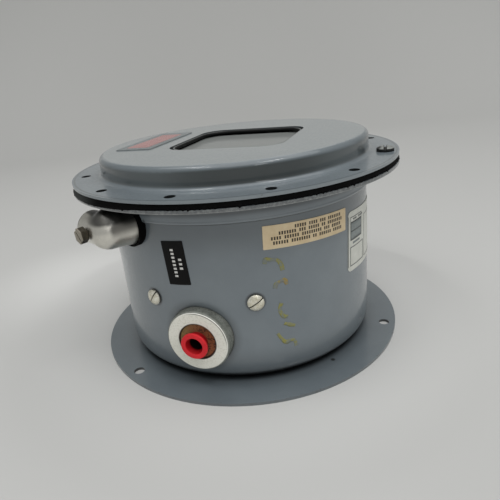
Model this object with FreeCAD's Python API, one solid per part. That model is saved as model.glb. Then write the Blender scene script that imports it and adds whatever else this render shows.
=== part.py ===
# Round weatherproof differential pressure switch with a dial behind a window.
# Millimetres. Z is the axis of the case and z = 0 is the back of its wall plate.
# On a wall +X points up, the low pressure port is on -Y and the high pressure port on +Y.
# Two opposed bellows push a yoke along Y. The yoke turns a toothed sector, which turns
# the pointer and works two snap switches.

import FreeCAD
import Part
import math
import os

# Gaps between pieces, and how far a cutter passes a face
over = 1.0
thread_gap = 0.05
hole_play = 0.15
skin_gap = 0.05
seat_gap = 0.02
running_gap = 0.06
end_play = 0.15

# Slotted screws as shank radius, head radius and head height
cover_screw = (2.2, 4.9, 3.0)
port_screw = (2.4, 4.5, 2.6)
chassis_screw = (2.0, 3.6, 2.4)
dial_screw = (1.5, 3.0, 1.8)
switch_screw = (1.5, 2.7, 1.7)
clamp_screw = (1.5, 2.7, 2.0)
strip_screw = (1.5, 2.2, 1.7)
head_edge_share = 0.55
head_crown_share = 0.72
slot_half_share = 0.12
slot_floor_share = 0.5

# Case, wall plate and flange
case_radius = 75.0
case_sheet = 1.5
case_edge_radius = 9.5
plate_radius = 91.5
plate_thick = 1.6
wall_hole_circle = 85.0
wall_hole_radius = 3.0
wall_holes = 3
flange_radius = 92.6
flange_thick = 1.6
flange_under_z = 99.6
collar_thick = 1.8
collar_low_z = 89.7
collar_fillet = 2.0
weld_gap = 0.1
wall_cut = 5.0

# Cover, its gasket and its screws
gasket_radius = 92.0
gasket_inner_radius = 78.0
gasket_thick = 2.9
cover_flange_radius = 92.4
cover_sheet = 1.4
cover_radius = 76.4
cover_top_z = 116.5
cover_shoulder = 3.0
cover_fillet = 2.5
screw_circle = 85.25
cover_hole_count = 12
cover_hole_radius = 2.65
cover_screw_length = 9.0
cover_screw_angles = (0.0, 180.0)
cover_screw_slot = 55.0

# Window in the cover, off centre towards the top
window_x = 4.2
window_height = 65.7
window_width = 67.9
window_corner = 12.0
glass_side = 80.0
glass_corner = 14.0
glass_thick = 3.0
window_gasket_thick = 2.0
window_gasket_lip = 0.5
retainer_side = 92.0
retainer_thick = 1.2
stud_radius = 1.5
stud_reach = 43.0
stud_tail = 5.0
nut_across = 6.4
nut_thick = 2.4

# Pressure ports
port_z = 29.1
port_angle = -90.0
boss_radius = 16.7
boss_face = 80.3
boss_chamfer = 1.0
boss_play = 0.3
port_radius = 9.9
port_depth = 18.0
port_passage = 3.0
casting_gap = 0.1
casting_thick = 7.0
casting_pad_radius = 18.5
casting_bar_width = 68.0
casting_bar_low_z = 41.0
casting_bar_corner = 5.0
spigot_radius = 13.0
spigot_end = 58.0
spigot_root = 3.0
port_screw_spread = 21.3
port_screw_shift = 1.3
port_screw_z = 47.7
port_screw_length = 10.0
port_screw_slots = (-35.0, -58.0, 60.0, -10.0)

# Flush bushing in the low pressure port and the flanged plastic plug in it
bushing_recess = 0.8
bushing_depth = 15.0
plug_flange_radius = 7.1
plug_flange_thick = 1.3
plug_neck_radius = 5.2
plug_proud = 4.6
plug_depth = 13.0
plug_hole_radius = 3.6
plug_mouth_radius = 4.5
plug_mouth_depth = 3.0
plug_floor = 2.0

# Conduit elbow high on the wall, its mouth turned away along the wall
elbow_angle = -117.0
elbow_z = 86.5
elbow_thread_radius = 7.0
elbow_thread_end = 67.0
elbow_seat = 77.6
elbow_base_radius = 10.2
elbow_corner = 88.2
elbow_radius = 9.0
elbow_reach = 15.5
elbow_mouth_radius = 8.4
conduit_radius = 6.2
conduit_depth = 10.0
elbow_passage = 4.6
seal_radius = 11.6
seal_play = 0.9
locknut_across = 20.0
locknut_thick = 4.0
set_screw_along = 6.5
set_screw_across = 7.0
set_screw_head = 3.6
set_screw_stand = 0.2
set_screw_radius = 2.0
set_screw_slot_half = 0.5
set_screw_slot_depth = 1.2
set_screw_turn = 70.0
set_screw_slot_turn = 41.0

# Labels and plate
# A wall label is its angle, height, width, tallness, lean and corner radius
skin = 0.25
port_label_place = (-96.35, 69.05, 12.2, 23.0, 3.7, 0.4)
side_label_place = (-44.2, 79.05, 47.8, 11.65, -2.0, 0.4)
data_label_place = (-5.8, 63.1, 47.0, 32.9, -2.5, 2.5)
nameplate_x = (-61.0, -38.5)
nameplate_half_width = 29.0
nameplate_thick = 0.5
nameplate_corner = 1.5

# Chassis across the case, resting on both port castings
chassis_z = 56.0
chassis_thick = 2.0
chassis_half_height = 56.0
chassis_radius = 73.3
chassis_screw_at = (14.0, 68.3)
chassis_screw_length = 10.0
chassis_tap_depth = 10.5
tenon_radius = 2.0
tenon_tail = 1.0

# Opposed bellows and the yoke between them
bellows_crest = 19.0
bellows_root = 13.0
bellows_wall = 0.8
bellows_waves = 4
bellows_disc = 2.0
yoke_half = 8.0
yoke_travel = 4.0
stem_half = 4.0
stem_play = 1.5
stem_slot_corner = 2.0
stem_top_z = 61.5
drive_pin_radius = 2.0
drive_pin_top_z = 65.8
drive_pin_seat = 6.0

# Sector and pinion, in the plane just above the chassis
gear_module = 0.6
pinion_teeth = 14
sector_full_teeth = 112
pressure_angle = math.radians(20.0)
tooth_addendum = 0.5
tooth_dedendum = 0.75
tooth_play = 0.08
sector_teeth = 8
teeth_past_middle = 1.5
rim_end_share = 0.6
tooth_root = 0.3
flank_steps = 3
pointer_x = -20.0
sector_low_z = 62.0
sector_thick = 2.0
sector_hub_radius = 5.5
sector_hub_top_z = 66.0
sector_rim = 4.0
web_half = 5.0
web_start_x = 2.0
arm_radius = 5.6
slot_play = 0.15
slot_half_length = 0.9
nose_reach = 14.0
nose_radius = 2.5
finger_radius = 1.5
post_radius = 2.5
post_base_radius = 4.2
post_tip = 1.8
lever_lift = 0.1
clip_lift = 0.3
clip_thick = 0.8
pinion_side = 1.0

# Dial, pointer and set pointers
dial_z = 94.0
dial_thick = 1.2
dial_radius = 60.0
pillar_radius = 3.2
pillar_reach = 36.8
pillar_tap_depth = 9.0
dial_screw_length = 8.0
shaft_radius = 1.5
shaft_low_z = 55.0
shaft_top_z = 103.4
shaft_collar_radius = 2.6
hub_flange_radius = 6.0
hub_radius = 4.0
hub_top_z = 100.4
hub_flange_thick = 1.0
hub_tail = 2.0
pointer_z = 101.0
pointer_thick = 1.0
pointer_length = 37.0
pointer_tail = 12.0
pointer_hub_radius = 4.0
pointer_tip_radius = 0.5
hand_root_radius = 2.2
hand_tail_radius = 2.6
set_pointer_length = 34.0
set_pointer_thick = 0.8
set_pointer_eye = 2.0
set_pointer_tip_radius = 1.0
low_set_z = 96.5
high_set_z = 98.4
low_set_angle = 28.0
high_set_angle = -24.0

# Snap switches with leaf levers, one each side of the sector's nose
switch_length = 27.8
switch_height = 15.9
switch_thick = 10.3
switch_x = 26.0
switch_corner = 1.0
switch_screw_inset = 2.8
ear_gap = 0.3
ear_thick = 1.2
ear_half = 1.0
plunger_hole_depth = 6.5
blade_first = 5.0
blade_pitch = 8.5
blade_count = 3
blade_thick = 0.8
blade_half = 2.4
blade_length = 6.5
leaf_hinge_x = 50.5
leaf_length = 20.2
leaf_thick = 0.6
leaf_width = 5.0
leaf_stand = 1.1
leaf_play = 0.2
leaf_eye = 1.0
leaf_pin_radius = 0.5
plunger_x = 42.5
plunger_radius = 1.2
plunger_length = 5.5
plunger_play = 0.35

# Terminal strip
strip_x = -53.0
strip_depth = 16.0
strip_width = 58.0
strip_base = 6.0
strip_top = 13.0
strip_poles = 6
strip_pitch = 7.6
strip_rib = 1.4
strip_screw_inset = 2.6
clamp_screw_length = 4.5
clamp_hole_floor = 1.0

# Worked out from the sizes above
flange_top_z = flange_under_z + flange_thick
cover_flange_low_z = flange_top_z + gasket_thick
cover_flange_top_z = cover_flange_low_z + cover_sheet
cover_under_z = cover_top_z - cover_sheet
case_inner_radius = case_radius - case_sheet
case_floor_z = plate_thick + case_sheet
chassis_top_z = chassis_z + chassis_thick
pinion_pitch_radius = gear_module * pinion_teeth / 2
sector_pitch_radius = gear_module * sector_full_teeth / 2
sector_x = pointer_x + pinion_pitch_radius + sector_pitch_radius
sector_turn = math.atan(yoke_travel / sector_x)
pointer_turn = sector_turn * sector_full_teeth / pinion_teeth
dial_top_z = dial_z + dial_thick
wall_cut_low = case_radius - wall_cut
wall_cut_high = case_radius + wall_cut

origin = FreeCAD.Vector(0, 0, 0)
x_axis = FreeCAD.Vector(1, 0, 0)
y_axis = FreeCAD.Vector(0, 1, 0)
z_axis = FreeCAD.Vector(0, 0, 1)


def point(x, y, z=0.0):
    return FreeCAD.Vector(x, y, z)


def polar(radius, angle, centre=origin):
    """Point in the XY plane at an angle in radians about a centre."""
    return centre + point(radius * math.cos(angle), radius * math.sin(angle))


def turned(shape, degrees, axis=z_axis, about=origin):
    copy = shape.copy()
    copy.rotate(about, axis, degrees)
    return copy


def moved(shape, x, y, z):
    copy = shape.copy()
    copy.translate(point(x, y, z))
    return copy


def joined(shapes):
    first, *others = shapes
    return first.fuse(others).removeSplitter()


def rod(radius, start, end):
    return Part.makeCylinder(radius, (end - start).Length, start, end - start)


def upright(radius, x, y, low_z, high_z):
    return rod(radius, point(x, y, low_z), point(x, y, high_z))


def ring(outer, inner, low_z, high_z, x=0.0, y=0.0):
    return upright(outer, x, y, low_z, high_z).cut(upright(inner, x, y, low_z, high_z))


def block(low, high):
    size = high - low
    return Part.makeBox(size.x, size.y, size.z, low)


def outline(start, *stops):
    """Closed wire. A stop is a point for a line, or a pair of points for an arc."""
    edges = []
    here = start
    for stop in stops + (start,):
        if isinstance(stop, tuple):
            through, end = stop
            edges.append(Part.Arc(here, through, end).toShape())
        else:
            end = stop
            if here.distanceToPoint(end) > 1e-6:
                edges.append(Part.LineSegment(here, end).toShape())
        here = end
    return Part.Wire(edges)


def spun(wire):
    """Solid of revolution of a wire drawn in the XZ plane."""
    return Part.Face(wire).revolve(origin, z_axis, 360)


def bend(x, z, radius, degrees):
    """Point of a rounded corner in the XZ plane."""
    angle = math.radians(degrees)
    return point(x + radius * math.cos(angle), 0, z + radius * math.sin(angle))


def rounded_slab(centre_x, centre_y, length, width, corner, low_z, high_z):
    half = point(length / 2, width / 2)
    middle = point(centre_x, centre_y)
    slab = block(middle - half + point(0, 0, low_z), middle + half + point(0, 0, high_z))
    corners = [edge for edge in slab.Edges if abs(edge.tangentAt(edge.FirstParameter).z) > 0.9]
    return slab.makeFillet(corner, corners)


def link(first, first_radius, second, second_radius, low_z, thick):
    """Flat bar round two circles and the tangents between them."""
    span = second - first
    heading = math.atan2(span.y, span.x)
    lean = math.acos((first_radius - second_radius) / span.Length)
    wire = outline(
        polar(first_radius, heading + lean, first),
        polar(second_radius, heading + lean, second),
        (polar(second_radius, heading, second), polar(second_radius, heading - lean, second)),
        polar(first_radius, heading - lean, first),
        (polar(-first_radius, heading, first), polar(first_radius, heading + lean, first)),
    )
    return moved(Part.Face(wire).extrude(point(0, 0, thick)), 0, 0, low_z)


def hexagon(across, low_z, high_z):
    corners = [polar(across / math.sqrt(3), math.radians(60 * side)) for side in range(6)]
    prism = Part.Face(outline(*corners)).extrude(point(0, 0, high_z - low_z))
    return moved(prism, 0, 0, low_z)


def slotted_screw(size, length):
    """Screw along Z, with the underside of its slotted head at z = 0."""
    shank_radius, head_radius, head_height = size
    edge_height = head_height * head_edge_share
    head = upright(head_radius, 0, 0, 0, edge_height)
    crown = Part.makeCone(
        head_radius, head_radius * head_crown_share, head_height - edge_height, point(0, 0, edge_height),
    )
    shank = upright(shank_radius, 0, 0, -length, 0)
    slot_half = head_radius * slot_half_share
    slot = block(
        point(-head_radius, -slot_half, head_height * slot_floor_share),
        point(head_radius, slot_half, head_height + over),
    )
    return joined([head, crown, shank]).cut(slot)


def tapped(size):
    """Radius of a tapped hole for a screw."""
    return size[0] + thread_gap


def clear(size):
    """Radius of a clear hole for a screw."""
    return size[0] + hole_play


def on_wall(shape, angle, height):
    """Take a piece drawn along +Z from z = radius and lay it radially at an angle on the case."""
    return turned(moved(turned(shape, 90, y_axis), 0, 0, height), angle)


def on_circle(count, radius):
    return [polar(radius, 2 * math.pi * number / count) for number in range(count)]


def drilled(shape, places, radius, low_z, high_z):
    holes = [upright(radius, place.x, place.y, low_z, high_z) for place in places]
    return shape.cut(Part.makeCompound(holes))


def back_plate():
    plate = upright(plate_radius, 0, 0, 0, plate_thick)
    return drilled(plate, on_circle(wall_holes, wall_hole_circle), wall_hole_radius, -over, plate_thick + over)


def port_screw_angles():
    pair = (-port_screw_spread, port_screw_spread)
    return [port_angle + side + port_screw_shift + spread for side in (0, 180) for spread in pair]


def case_shell():
    """Drawn cup with a rounded foot, pierced for the ports, their screws and the conduit."""
    corner_x = case_radius - case_edge_radius
    corner_z = plate_thick + case_edge_radius
    inner_radius = case_edge_radius - case_sheet
    cup = spun(outline(
        point(0, 0, plate_thick),
        point(corner_x, 0, plate_thick),
        (bend(corner_x, corner_z, case_edge_radius, -45), point(case_radius, 0, corner_z)),
        point(case_radius, 0, flange_top_z),
        point(case_inner_radius, 0, flange_top_z),
        point(case_inner_radius, 0, corner_z),
        (bend(corner_x, corner_z, inner_radius, -45), point(corner_x, 0, case_floor_z)),
        point(0, 0, case_floor_z),
    ))
    boss_hole = upright(boss_radius + boss_play, 0, 0, spigot_end, boss_face)
    screw_hole = upright(clear(port_screw), 0, 0, wall_cut_low, wall_cut_high)
    conduit_hole = upright(elbow_thread_radius + hole_play, 0, 0, wall_cut_low, wall_cut_high)
    holes = [on_wall(boss_hole, port_angle + side, port_z) for side in (0, 180)]
    holes += [on_wall(screw_hole, angle, port_screw_z) for angle in port_screw_angles()]
    holes.append(on_wall(conduit_hole, elbow_angle, elbow_z))
    return cup.cut(Part.makeCompound(holes))


def case_flange():
    """Rolled angle ring: a collar round the case and a drilled flange, notched for the elbow's seal."""
    leg_radius = case_radius + collar_thick
    inner = case_radius + weld_gap
    angle_ring = spun(outline(
        point(inner, 0, collar_low_z),
        point(leg_radius, 0, collar_low_z),
        point(leg_radius, 0, flange_under_z - collar_fillet),
        (
            bend(leg_radius + collar_fillet, flange_under_z - collar_fillet, collar_fillet, 135),
            point(leg_radius + collar_fillet, 0, flange_under_z),
        ),
        point(flange_radius, 0, flange_under_z),
        point(flange_radius, 0, flange_top_z),
        point(inner, 0, flange_top_z),
    ))
    pierced = drilled(
        angle_ring, on_circle(cover_hole_count, screw_circle),
        tapped(cover_screw), flange_under_z - over, flange_top_z + over,
    )
    notch = upright(seal_radius + seal_play, 0, 0, wall_cut_low, wall_cut_high)
    return pierced.cut(on_wall(notch, elbow_angle, elbow_z))


def flange_gasket():
    band = ring(gasket_radius, gasket_inner_radius, flange_top_z, cover_flange_low_z)
    return drilled(
        band, on_circle(cover_hole_count, screw_circle),
        cover_hole_radius, flange_top_z - over, cover_flange_low_z + over,
    )


def cover():
    """Drawn lid: flat flange, raised wall and flat top with the window cut in it."""
    shoulder_x = cover_radius - cover_shoulder
    shoulder_z = cover_top_z - cover_shoulder
    fillet_x = cover_radius + cover_fillet
    fillet_z = cover_flange_top_z + cover_fillet
    inner_shoulder = cover_shoulder - cover_sheet
    outer_fillet = cover_fillet + cover_sheet
    lid = spun(outline(
        point(0, 0, cover_top_z),
        point(shoulder_x, 0, cover_top_z),
        (bend(shoulder_x, shoulder_z, cover_shoulder, 45), point(cover_radius, 0, shoulder_z)),
        point(cover_radius, 0, fillet_z),
        (bend(fillet_x, fillet_z, cover_fillet, 225), point(fillet_x, 0, cover_flange_top_z)),
        point(cover_flange_radius, 0, cover_flange_top_z),
        point(cover_flange_radius, 0, cover_flange_low_z),
        point(fillet_x, 0, cover_flange_low_z),
        (bend(fillet_x, fillet_z, outer_fillet, 225), point(cover_radius - cover_sheet, 0, fillet_z)),
        point(cover_radius - cover_sheet, 0, shoulder_z),
        (bend(shoulder_x, shoulder_z, inner_shoulder, 45), point(shoulder_x, 0, cover_under_z)),
        point(0, 0, cover_under_z),
    ))
    opening = rounded_slab(
        window_x, 0, window_height, window_width, window_corner, cover_under_z - over, cover_top_z + over,
    )
    return drilled(
        lid.cut(opening), on_circle(cover_hole_count, screw_circle),
        cover_hole_radius, cover_flange_low_z - over, cover_flange_top_z + over,
    )


def cover_screws():
    screw = turned(slotted_screw(cover_screw, cover_screw_length), cover_screw_slot)
    placed = moved(screw, screw_circle, 0, cover_flange_top_z)
    return Part.makeCompound([turned(placed, angle) for angle in cover_screw_angles])


def window_gasket():
    low_z = cover_under_z - window_gasket_thick
    outer = rounded_slab(window_x, 0, glass_side, glass_side, glass_corner, low_z, cover_under_z)
    inner = rounded_slab(
        window_x, 0, window_height - 2 * window_gasket_lip, window_width - 2 * window_gasket_lip,
        window_corner, low_z - over, cover_under_z + over,
    )
    return outer.cut(inner)


def window_glass():
    high_z = cover_under_z - window_gasket_thick
    return rounded_slab(window_x, 0, glass_side, glass_side, glass_corner, high_z - glass_thick, high_z)


def retainer_top_z():
    return cover_under_z - window_gasket_thick - glass_thick


def stud_places():
    return [polar(stud_reach, math.radians(90 * side), point(window_x, 0)) for side in range(4)]


def window_retainer():
    high_z = retainer_top_z()
    low_z = high_z - retainer_thick
    frame = rounded_slab(window_x, 0, retainer_side, retainer_side, glass_corner, low_z, high_z)
    view = rounded_slab(window_x, 0, window_height, window_width, window_corner, low_z - over, high_z + over)
    return drilled(frame.cut(view), stud_places(), stud_radius + hole_play, low_z - over, high_z + over)


def window_studs():
    low_z = retainer_top_z() - retainer_thick - stud_tail
    return Part.makeCompound([upright(stud_radius, at.x, at.y, low_z, cover_under_z) for at in stud_places()])


def window_nuts():
    high_z = retainer_top_z() - retainer_thick
    nut = hexagon(nut_across, high_z - nut_thick, high_z)
    nut = nut.cut(upright(stud_radius + seat_gap, 0, 0, high_z - nut_thick - over, high_z + over))
    return Part.makeCompound([moved(nut, at.x, at.y, 0) for at in stud_places()])


def port_casting():
    """Saddle casting inside the wall with the port's boss through it, drawn for the port on -Y."""
    outer = case_inner_radius - casting_gap
    inner = outer - casting_thick
    saddle = ring(outer, inner, 0, chassis_z)
    bar_height = chassis_z - casting_bar_low_z
    bar = rounded_slab(
        0, casting_bar_low_z + bar_height / 2, casting_bar_width, bar_height, casting_bar_corner, 0, outer,
    )
    pad = upright(casting_pad_radius, 0, port_z, 0, outer)
    web_end = casting_bar_width / 2 - casting_bar_corner
    web_z = casting_bar_low_z + casting_bar_corner
    web = Part.Face(outline(
        point(-casting_pad_radius, port_z),
        point(casting_pad_radius, port_z),
        point(web_end, web_z),
        point(-web_end, web_z),
    )).extrude(point(0, 0, outer))
    front = turned(joined([bar, pad, web]), 90, x_axis)
    body = saddle.common(front)
    face_edge = boss_face - boss_chamfer
    boss = upright(boss_radius, 0, 0, inner, face_edge)
    rim = Part.makeCone(boss_radius, boss_radius - boss_chamfer, boss_chamfer, point(0, 0, face_edge))
    spigot = upright(spigot_radius, 0, 0, spigot_end, inner + spigot_root)
    neck = on_wall(joined([boss, rim, spigot]), port_angle, port_z)
    bore = upright(port_radius, 0, 0, boss_face - port_depth, boss_face + over)
    passage = upright(port_passage, 0, 0, spigot_end - over, boss_face)
    screw_hole = upright(tapped(port_screw), 0, 0, spigot_end, case_radius)
    holes = [on_wall(bore, port_angle, port_z), on_wall(passage, port_angle, port_z)]
    holes += [on_wall(screw_hole, angle, port_screw_z) for angle in port_screw_angles()[:2]]
    across, out = chassis_screw_at
    tap = upright(tapped(chassis_screw), 0, -out, chassis_z - chassis_tap_depth, chassis_z + over)
    holes += [moved(tap, side * across, 0, 0) for side in (-1, 1)]
    return joined([body, neck]).cut(Part.makeCompound(holes))


def port_screws():
    screw = slotted_screw(port_screw, port_screw_length)
    placed = [
        on_wall(moved(turned(screw, slot), 0, 0, case_radius), angle, port_screw_z)
        for slot, angle in zip(port_screw_slots, port_screw_angles())
    ]
    return Part.makeCompound(placed)


def port_bushing():
    """Flush bushing screwed into the low pressure port and bored for the plug's neck."""
    front = boss_face - bushing_recess
    body = upright(port_radius - thread_gap, 0, 0, boss_face - bushing_depth, front)
    hole = upright(plug_neck_radius + seat_gap, 0, 0, boss_face - bushing_depth - over, front + over)
    return on_wall(body.cut(hole), port_angle, port_z)


def port_plug():
    """Hollow push-in plug: a thin flange in front, a neck in the bushing and a flared hole."""
    face = boss_face + plug_proud
    end = boss_face - plug_depth
    flange = upright(plug_flange_radius, 0, 0, face - plug_flange_thick, face)
    neck = upright(plug_neck_radius, 0, 0, end, face)
    hole = upright(plug_hole_radius, 0, 0, end + plug_floor, face + over)
    flare_start = point(0, 0, face - plug_mouth_depth)
    flare = Part.makeCone(plug_hole_radius, plug_mouth_radius, plug_mouth_depth, flare_start)
    return on_wall(joined([flange, neck]).cut(hole).cut(flare), port_angle, port_z)


def elbow_leg(end_radius, reach):
    """Leg of the elbow along +Z: a ball at the corner and a tangent cone to the leg's end."""
    touch = math.atan2(end_radius, reach) + math.acos(elbow_radius / math.hypot(reach, end_radius))
    middle = (touch + math.pi) / 2
    tangent = point(elbow_radius * math.sin(touch), 0, elbow_radius * math.cos(touch))
    through = point(elbow_radius * math.sin(middle), 0, elbow_radius * math.cos(middle))
    return spun(outline(
        point(0, 0, reach),
        point(end_radius, 0, reach),
        tangent,
        (through, point(0, 0, -elbow_radius)),
    ))


def elbow_barrel(radius, start, end):
    """Rod along the elbow's mouth, which points away from the neck along the wall."""
    return rod(radius, point(0, -start, elbow_corner), point(0, -end, elbow_corner))


def conduit_elbow():
    neck = turned(elbow_leg(elbow_base_radius, elbow_corner - elbow_seat), 180, x_axis)
    barrel = turned(elbow_leg(elbow_mouth_radius, elbow_reach), 90, x_axis)
    outside = moved(joined([neck, barrel]), 0, 0, elbow_corner)
    thread = upright(elbow_thread_radius, 0, 0, elbow_thread_end, elbow_seat + over)
    socket = elbow_barrel(conduit_radius, elbow_reach - conduit_depth, elbow_reach + over)
    turn = elbow_barrel(elbow_passage, 0, elbow_reach)
    passage = upright(elbow_passage, 0, 0, elbow_thread_end - over, elbow_corner)
    bend_ball = Part.makeSphere(elbow_passage, point(0, 0, elbow_corner))
    screw_hole = upright(
        set_screw_radius + thread_gap, 0, -set_screw_along, elbow_corner, elbow_corner + 2 * elbow_radius,
    )
    body = joined([outside, thread]).cut(joined([socket, turn, passage, bend_ball]))
    return on_wall(body.cut(screw_hole), elbow_angle, elbow_z)


def set_screw_seat():
    """How far out the set screw's head sits, just clear of the leg's cone."""
    taper = (elbow_radius - elbow_mouth_radius) / elbow_reach
    return elbow_corner + elbow_radius - taper * set_screw_along + set_screw_stand


def conduit_set_screw():
    under_head = set_screw_seat()
    face = under_head + set_screw_head
    head = turned(hexagon(set_screw_across, under_head, face), set_screw_turn)
    slot = turned(block(
        point(-set_screw_across, -set_screw_slot_half, face - set_screw_slot_depth),
        point(set_screw_across, set_screw_slot_half, face + over),
    ), set_screw_slot_turn)
    shank = upright(set_screw_radius, 0, 0, elbow_corner + conduit_radius + thread_gap, under_head)
    screw = moved(joined([head, shank]).cut(slot), 0, -set_screw_along, 0)
    return on_wall(screw, elbow_angle, elbow_z)


def conduit_seal():
    """Rubber ring squeezed between the elbow's neck and the wall."""
    band = ring(seal_radius, elbow_thread_radius + seat_gap, wall_cut_low, elbow_seat)
    wall = upright(case_radius + skin_gap, 0, 0, 0, cover_top_z)
    return on_wall(band, elbow_angle, elbow_z).cut(wall)


def conduit_locknut():
    outer_face = math.sqrt(case_inner_radius ** 2 - (locknut_across / 2) ** 2) - casting_gap
    inner_face = outer_face - locknut_thick
    nut = hexagon(locknut_across, inner_face, outer_face)
    bore = upright(elbow_thread_radius + seat_gap, 0, 0, inner_face - over, outer_face + over)
    return on_wall(nut.cut(bore), elbow_angle, elbow_z)


def wall_label(place):
    """Thin label on the case wall, leaning by some degrees."""
    angle, height, width, tall, lean, corner = place
    sheet = rounded_slab(0, 0, tall, width, corner, spigot_end, wall_cut_high)
    foil = ring(case_radius + skin_gap + skin, case_radius + skin_gap, 0, flange_under_z)
    return foil.common(on_wall(turned(sheet, lean), angle, height))


def cover_nameplate():
    low_x, high_x = nameplate_x
    return rounded_slab(
        (low_x + high_x) / 2, 0, high_x - low_x, 2 * nameplate_half_width, nameplate_corner,
        cover_top_z, cover_top_z + nameplate_thick,
    )


def pillar_places():
    return [point(x * pillar_reach, y * pillar_reach) for x in (-1, 1) for y in (-1, 1)]


def chassis_screw_places():
    across, out = chassis_screw_at
    return [point(x * across, y * out) for x in (-1, 1) for y in (-1, 1)]


def strip_screw_places():
    middle = strip_x + strip_depth / 2
    return [point(middle, side * (strip_width / 2 - strip_screw_inset)) for side in (-1, 1)]


def chassis():
    """Flat plate across the case with a slot for the yoke's stem and holes for all it carries."""
    disc = upright(chassis_radius, 0, 0, chassis_z, chassis_top_z)
    strip = block(
        point(-chassis_half_height, -chassis_radius, chassis_z),
        point(chassis_half_height, chassis_radius, chassis_top_z),
    )
    slot_height = 2 * (stem_half + stem_play)
    low_z = chassis_z - over
    high_z = chassis_top_z + over
    slot_length = slot_height + yoke_travel
    slot = rounded_slab(0, -yoke_travel / 2, slot_height, slot_length, stem_slot_corner, low_z, high_z)
    plate = disc.common(strip).cut(slot)
    plate = drilled(plate, pillar_places() + [point(sector_x, 0)], tenon_radius + seat_gap, low_z, high_z)
    plate = drilled(plate, chassis_screw_places(), clear(chassis_screw), low_z, high_z)
    plate = drilled(plate, switch_screw_places() + strip_screw_places(), tapped(switch_screw), low_z, high_z)
    return drilled(plate, [point(pointer_x, 0)], shaft_radius + running_gap, low_z, high_z)


def chassis_screws():
    screw = slotted_screw(chassis_screw, chassis_screw_length)
    return Part.makeCompound([moved(screw, at.x, at.y, chassis_top_z) for at in chassis_screw_places()])


def bellows():
    """Corrugated bellows of even wall between two end discs, drawn for the port on -Y."""
    length = spigot_end - yoke_half
    pitch = (length - 2 * bellows_disc) / bellows_waves
    waves = []
    for number in range(bellows_waves):
        start = bellows_disc + number * pitch
        waves += [(bellows_root, start), (bellows_crest, start + pitch / 2)]
    waves.append((bellows_root, length - bellows_disc))
    outside = [point(radius, 0, along) for radius, along in waves]
    inside = [point(radius - bellows_wall, 0, along) for radius, along in reversed(waves)]
    body = spun(outline(
        point(port_passage, 0, 0),
        point(bellows_root, 0, 0),
        *outside,
        point(bellows_root, 0, length),
        point(0, 0, length),
        point(0, 0, length - bellows_disc),
        *inside,
        point(port_passage, 0, bellows_disc),
    ))
    return moved(turned(body, -90, x_axis), 0, -spigot_end, port_z)


def bellows_yoke():
    """Disc between the bellows with a stem up through the chassis."""
    disc = rod(spigot_radius, point(0, -yoke_half, port_z), point(0, yoke_half, port_z))
    stem = block(
        point(-stem_half, -stem_half, port_z), point(stem_half, stem_half, stem_top_z),
    )
    pin_hole = upright(drive_pin_radius + seat_gap, 0, 0, stem_top_z - drive_pin_seat, stem_top_z + over)
    return joined([disc, stem]).cut(pin_hole)


def drive_pin():
    return upright(drive_pin_radius, 0, 0, stem_top_z - drive_pin_seat, drive_pin_top_z)


def involute_tooth(teeth, thick):
    """One tooth centred on +X. Each flank unwinds from the base circle."""
    pitch_radius = gear_module * teeth / 2
    base_radius = pitch_radius * math.cos(pressure_angle)
    root_radius = pitch_radius - tooth_dedendum
    tip_radius = pitch_radius + tooth_addendum
    half_pitch = math.pi / (2 * teeth) - tooth_play / (2 * pitch_radius)
    start_radius = max(root_radius, base_radius)

    def flank(radius):
        roll = math.acos(base_radius / radius)
        spread = half_pitch + math.tan(pressure_angle) - pressure_angle - math.tan(roll) + roll
        return polar(radius, spread)

    rise = (tip_radius - start_radius) / flank_steps
    upper = [flank(start_radius + rise * step) for step in range(flank_steps + 1)]
    lower = [point(place.x, -place.y) for place in reversed(upper)]
    foot = polar(root_radius - tooth_root, math.atan2(upper[0].y, upper[0].x))
    curves = [Part.BSplineCurve(), Part.BSplineCurve()]
    curves[0].interpolate(upper)
    curves[1].interpolate(lower)
    edges = [
        Part.LineSegment(foot, upper[0]).toShape(),
        curves[0].toShape(),
        Part.Arc(upper[-1], point(tip_radius, 0), lower[0]).toShape(),
        curves[1].toShape(),
        Part.LineSegment(lower[-1], point(foot.x, -foot.y)).toShape(),
        Part.LineSegment(point(foot.x, -foot.y), foot).toShape(),
    ]
    return Part.Face(Part.Wire(edges)).extrude(point(0, 0, thick))


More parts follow.
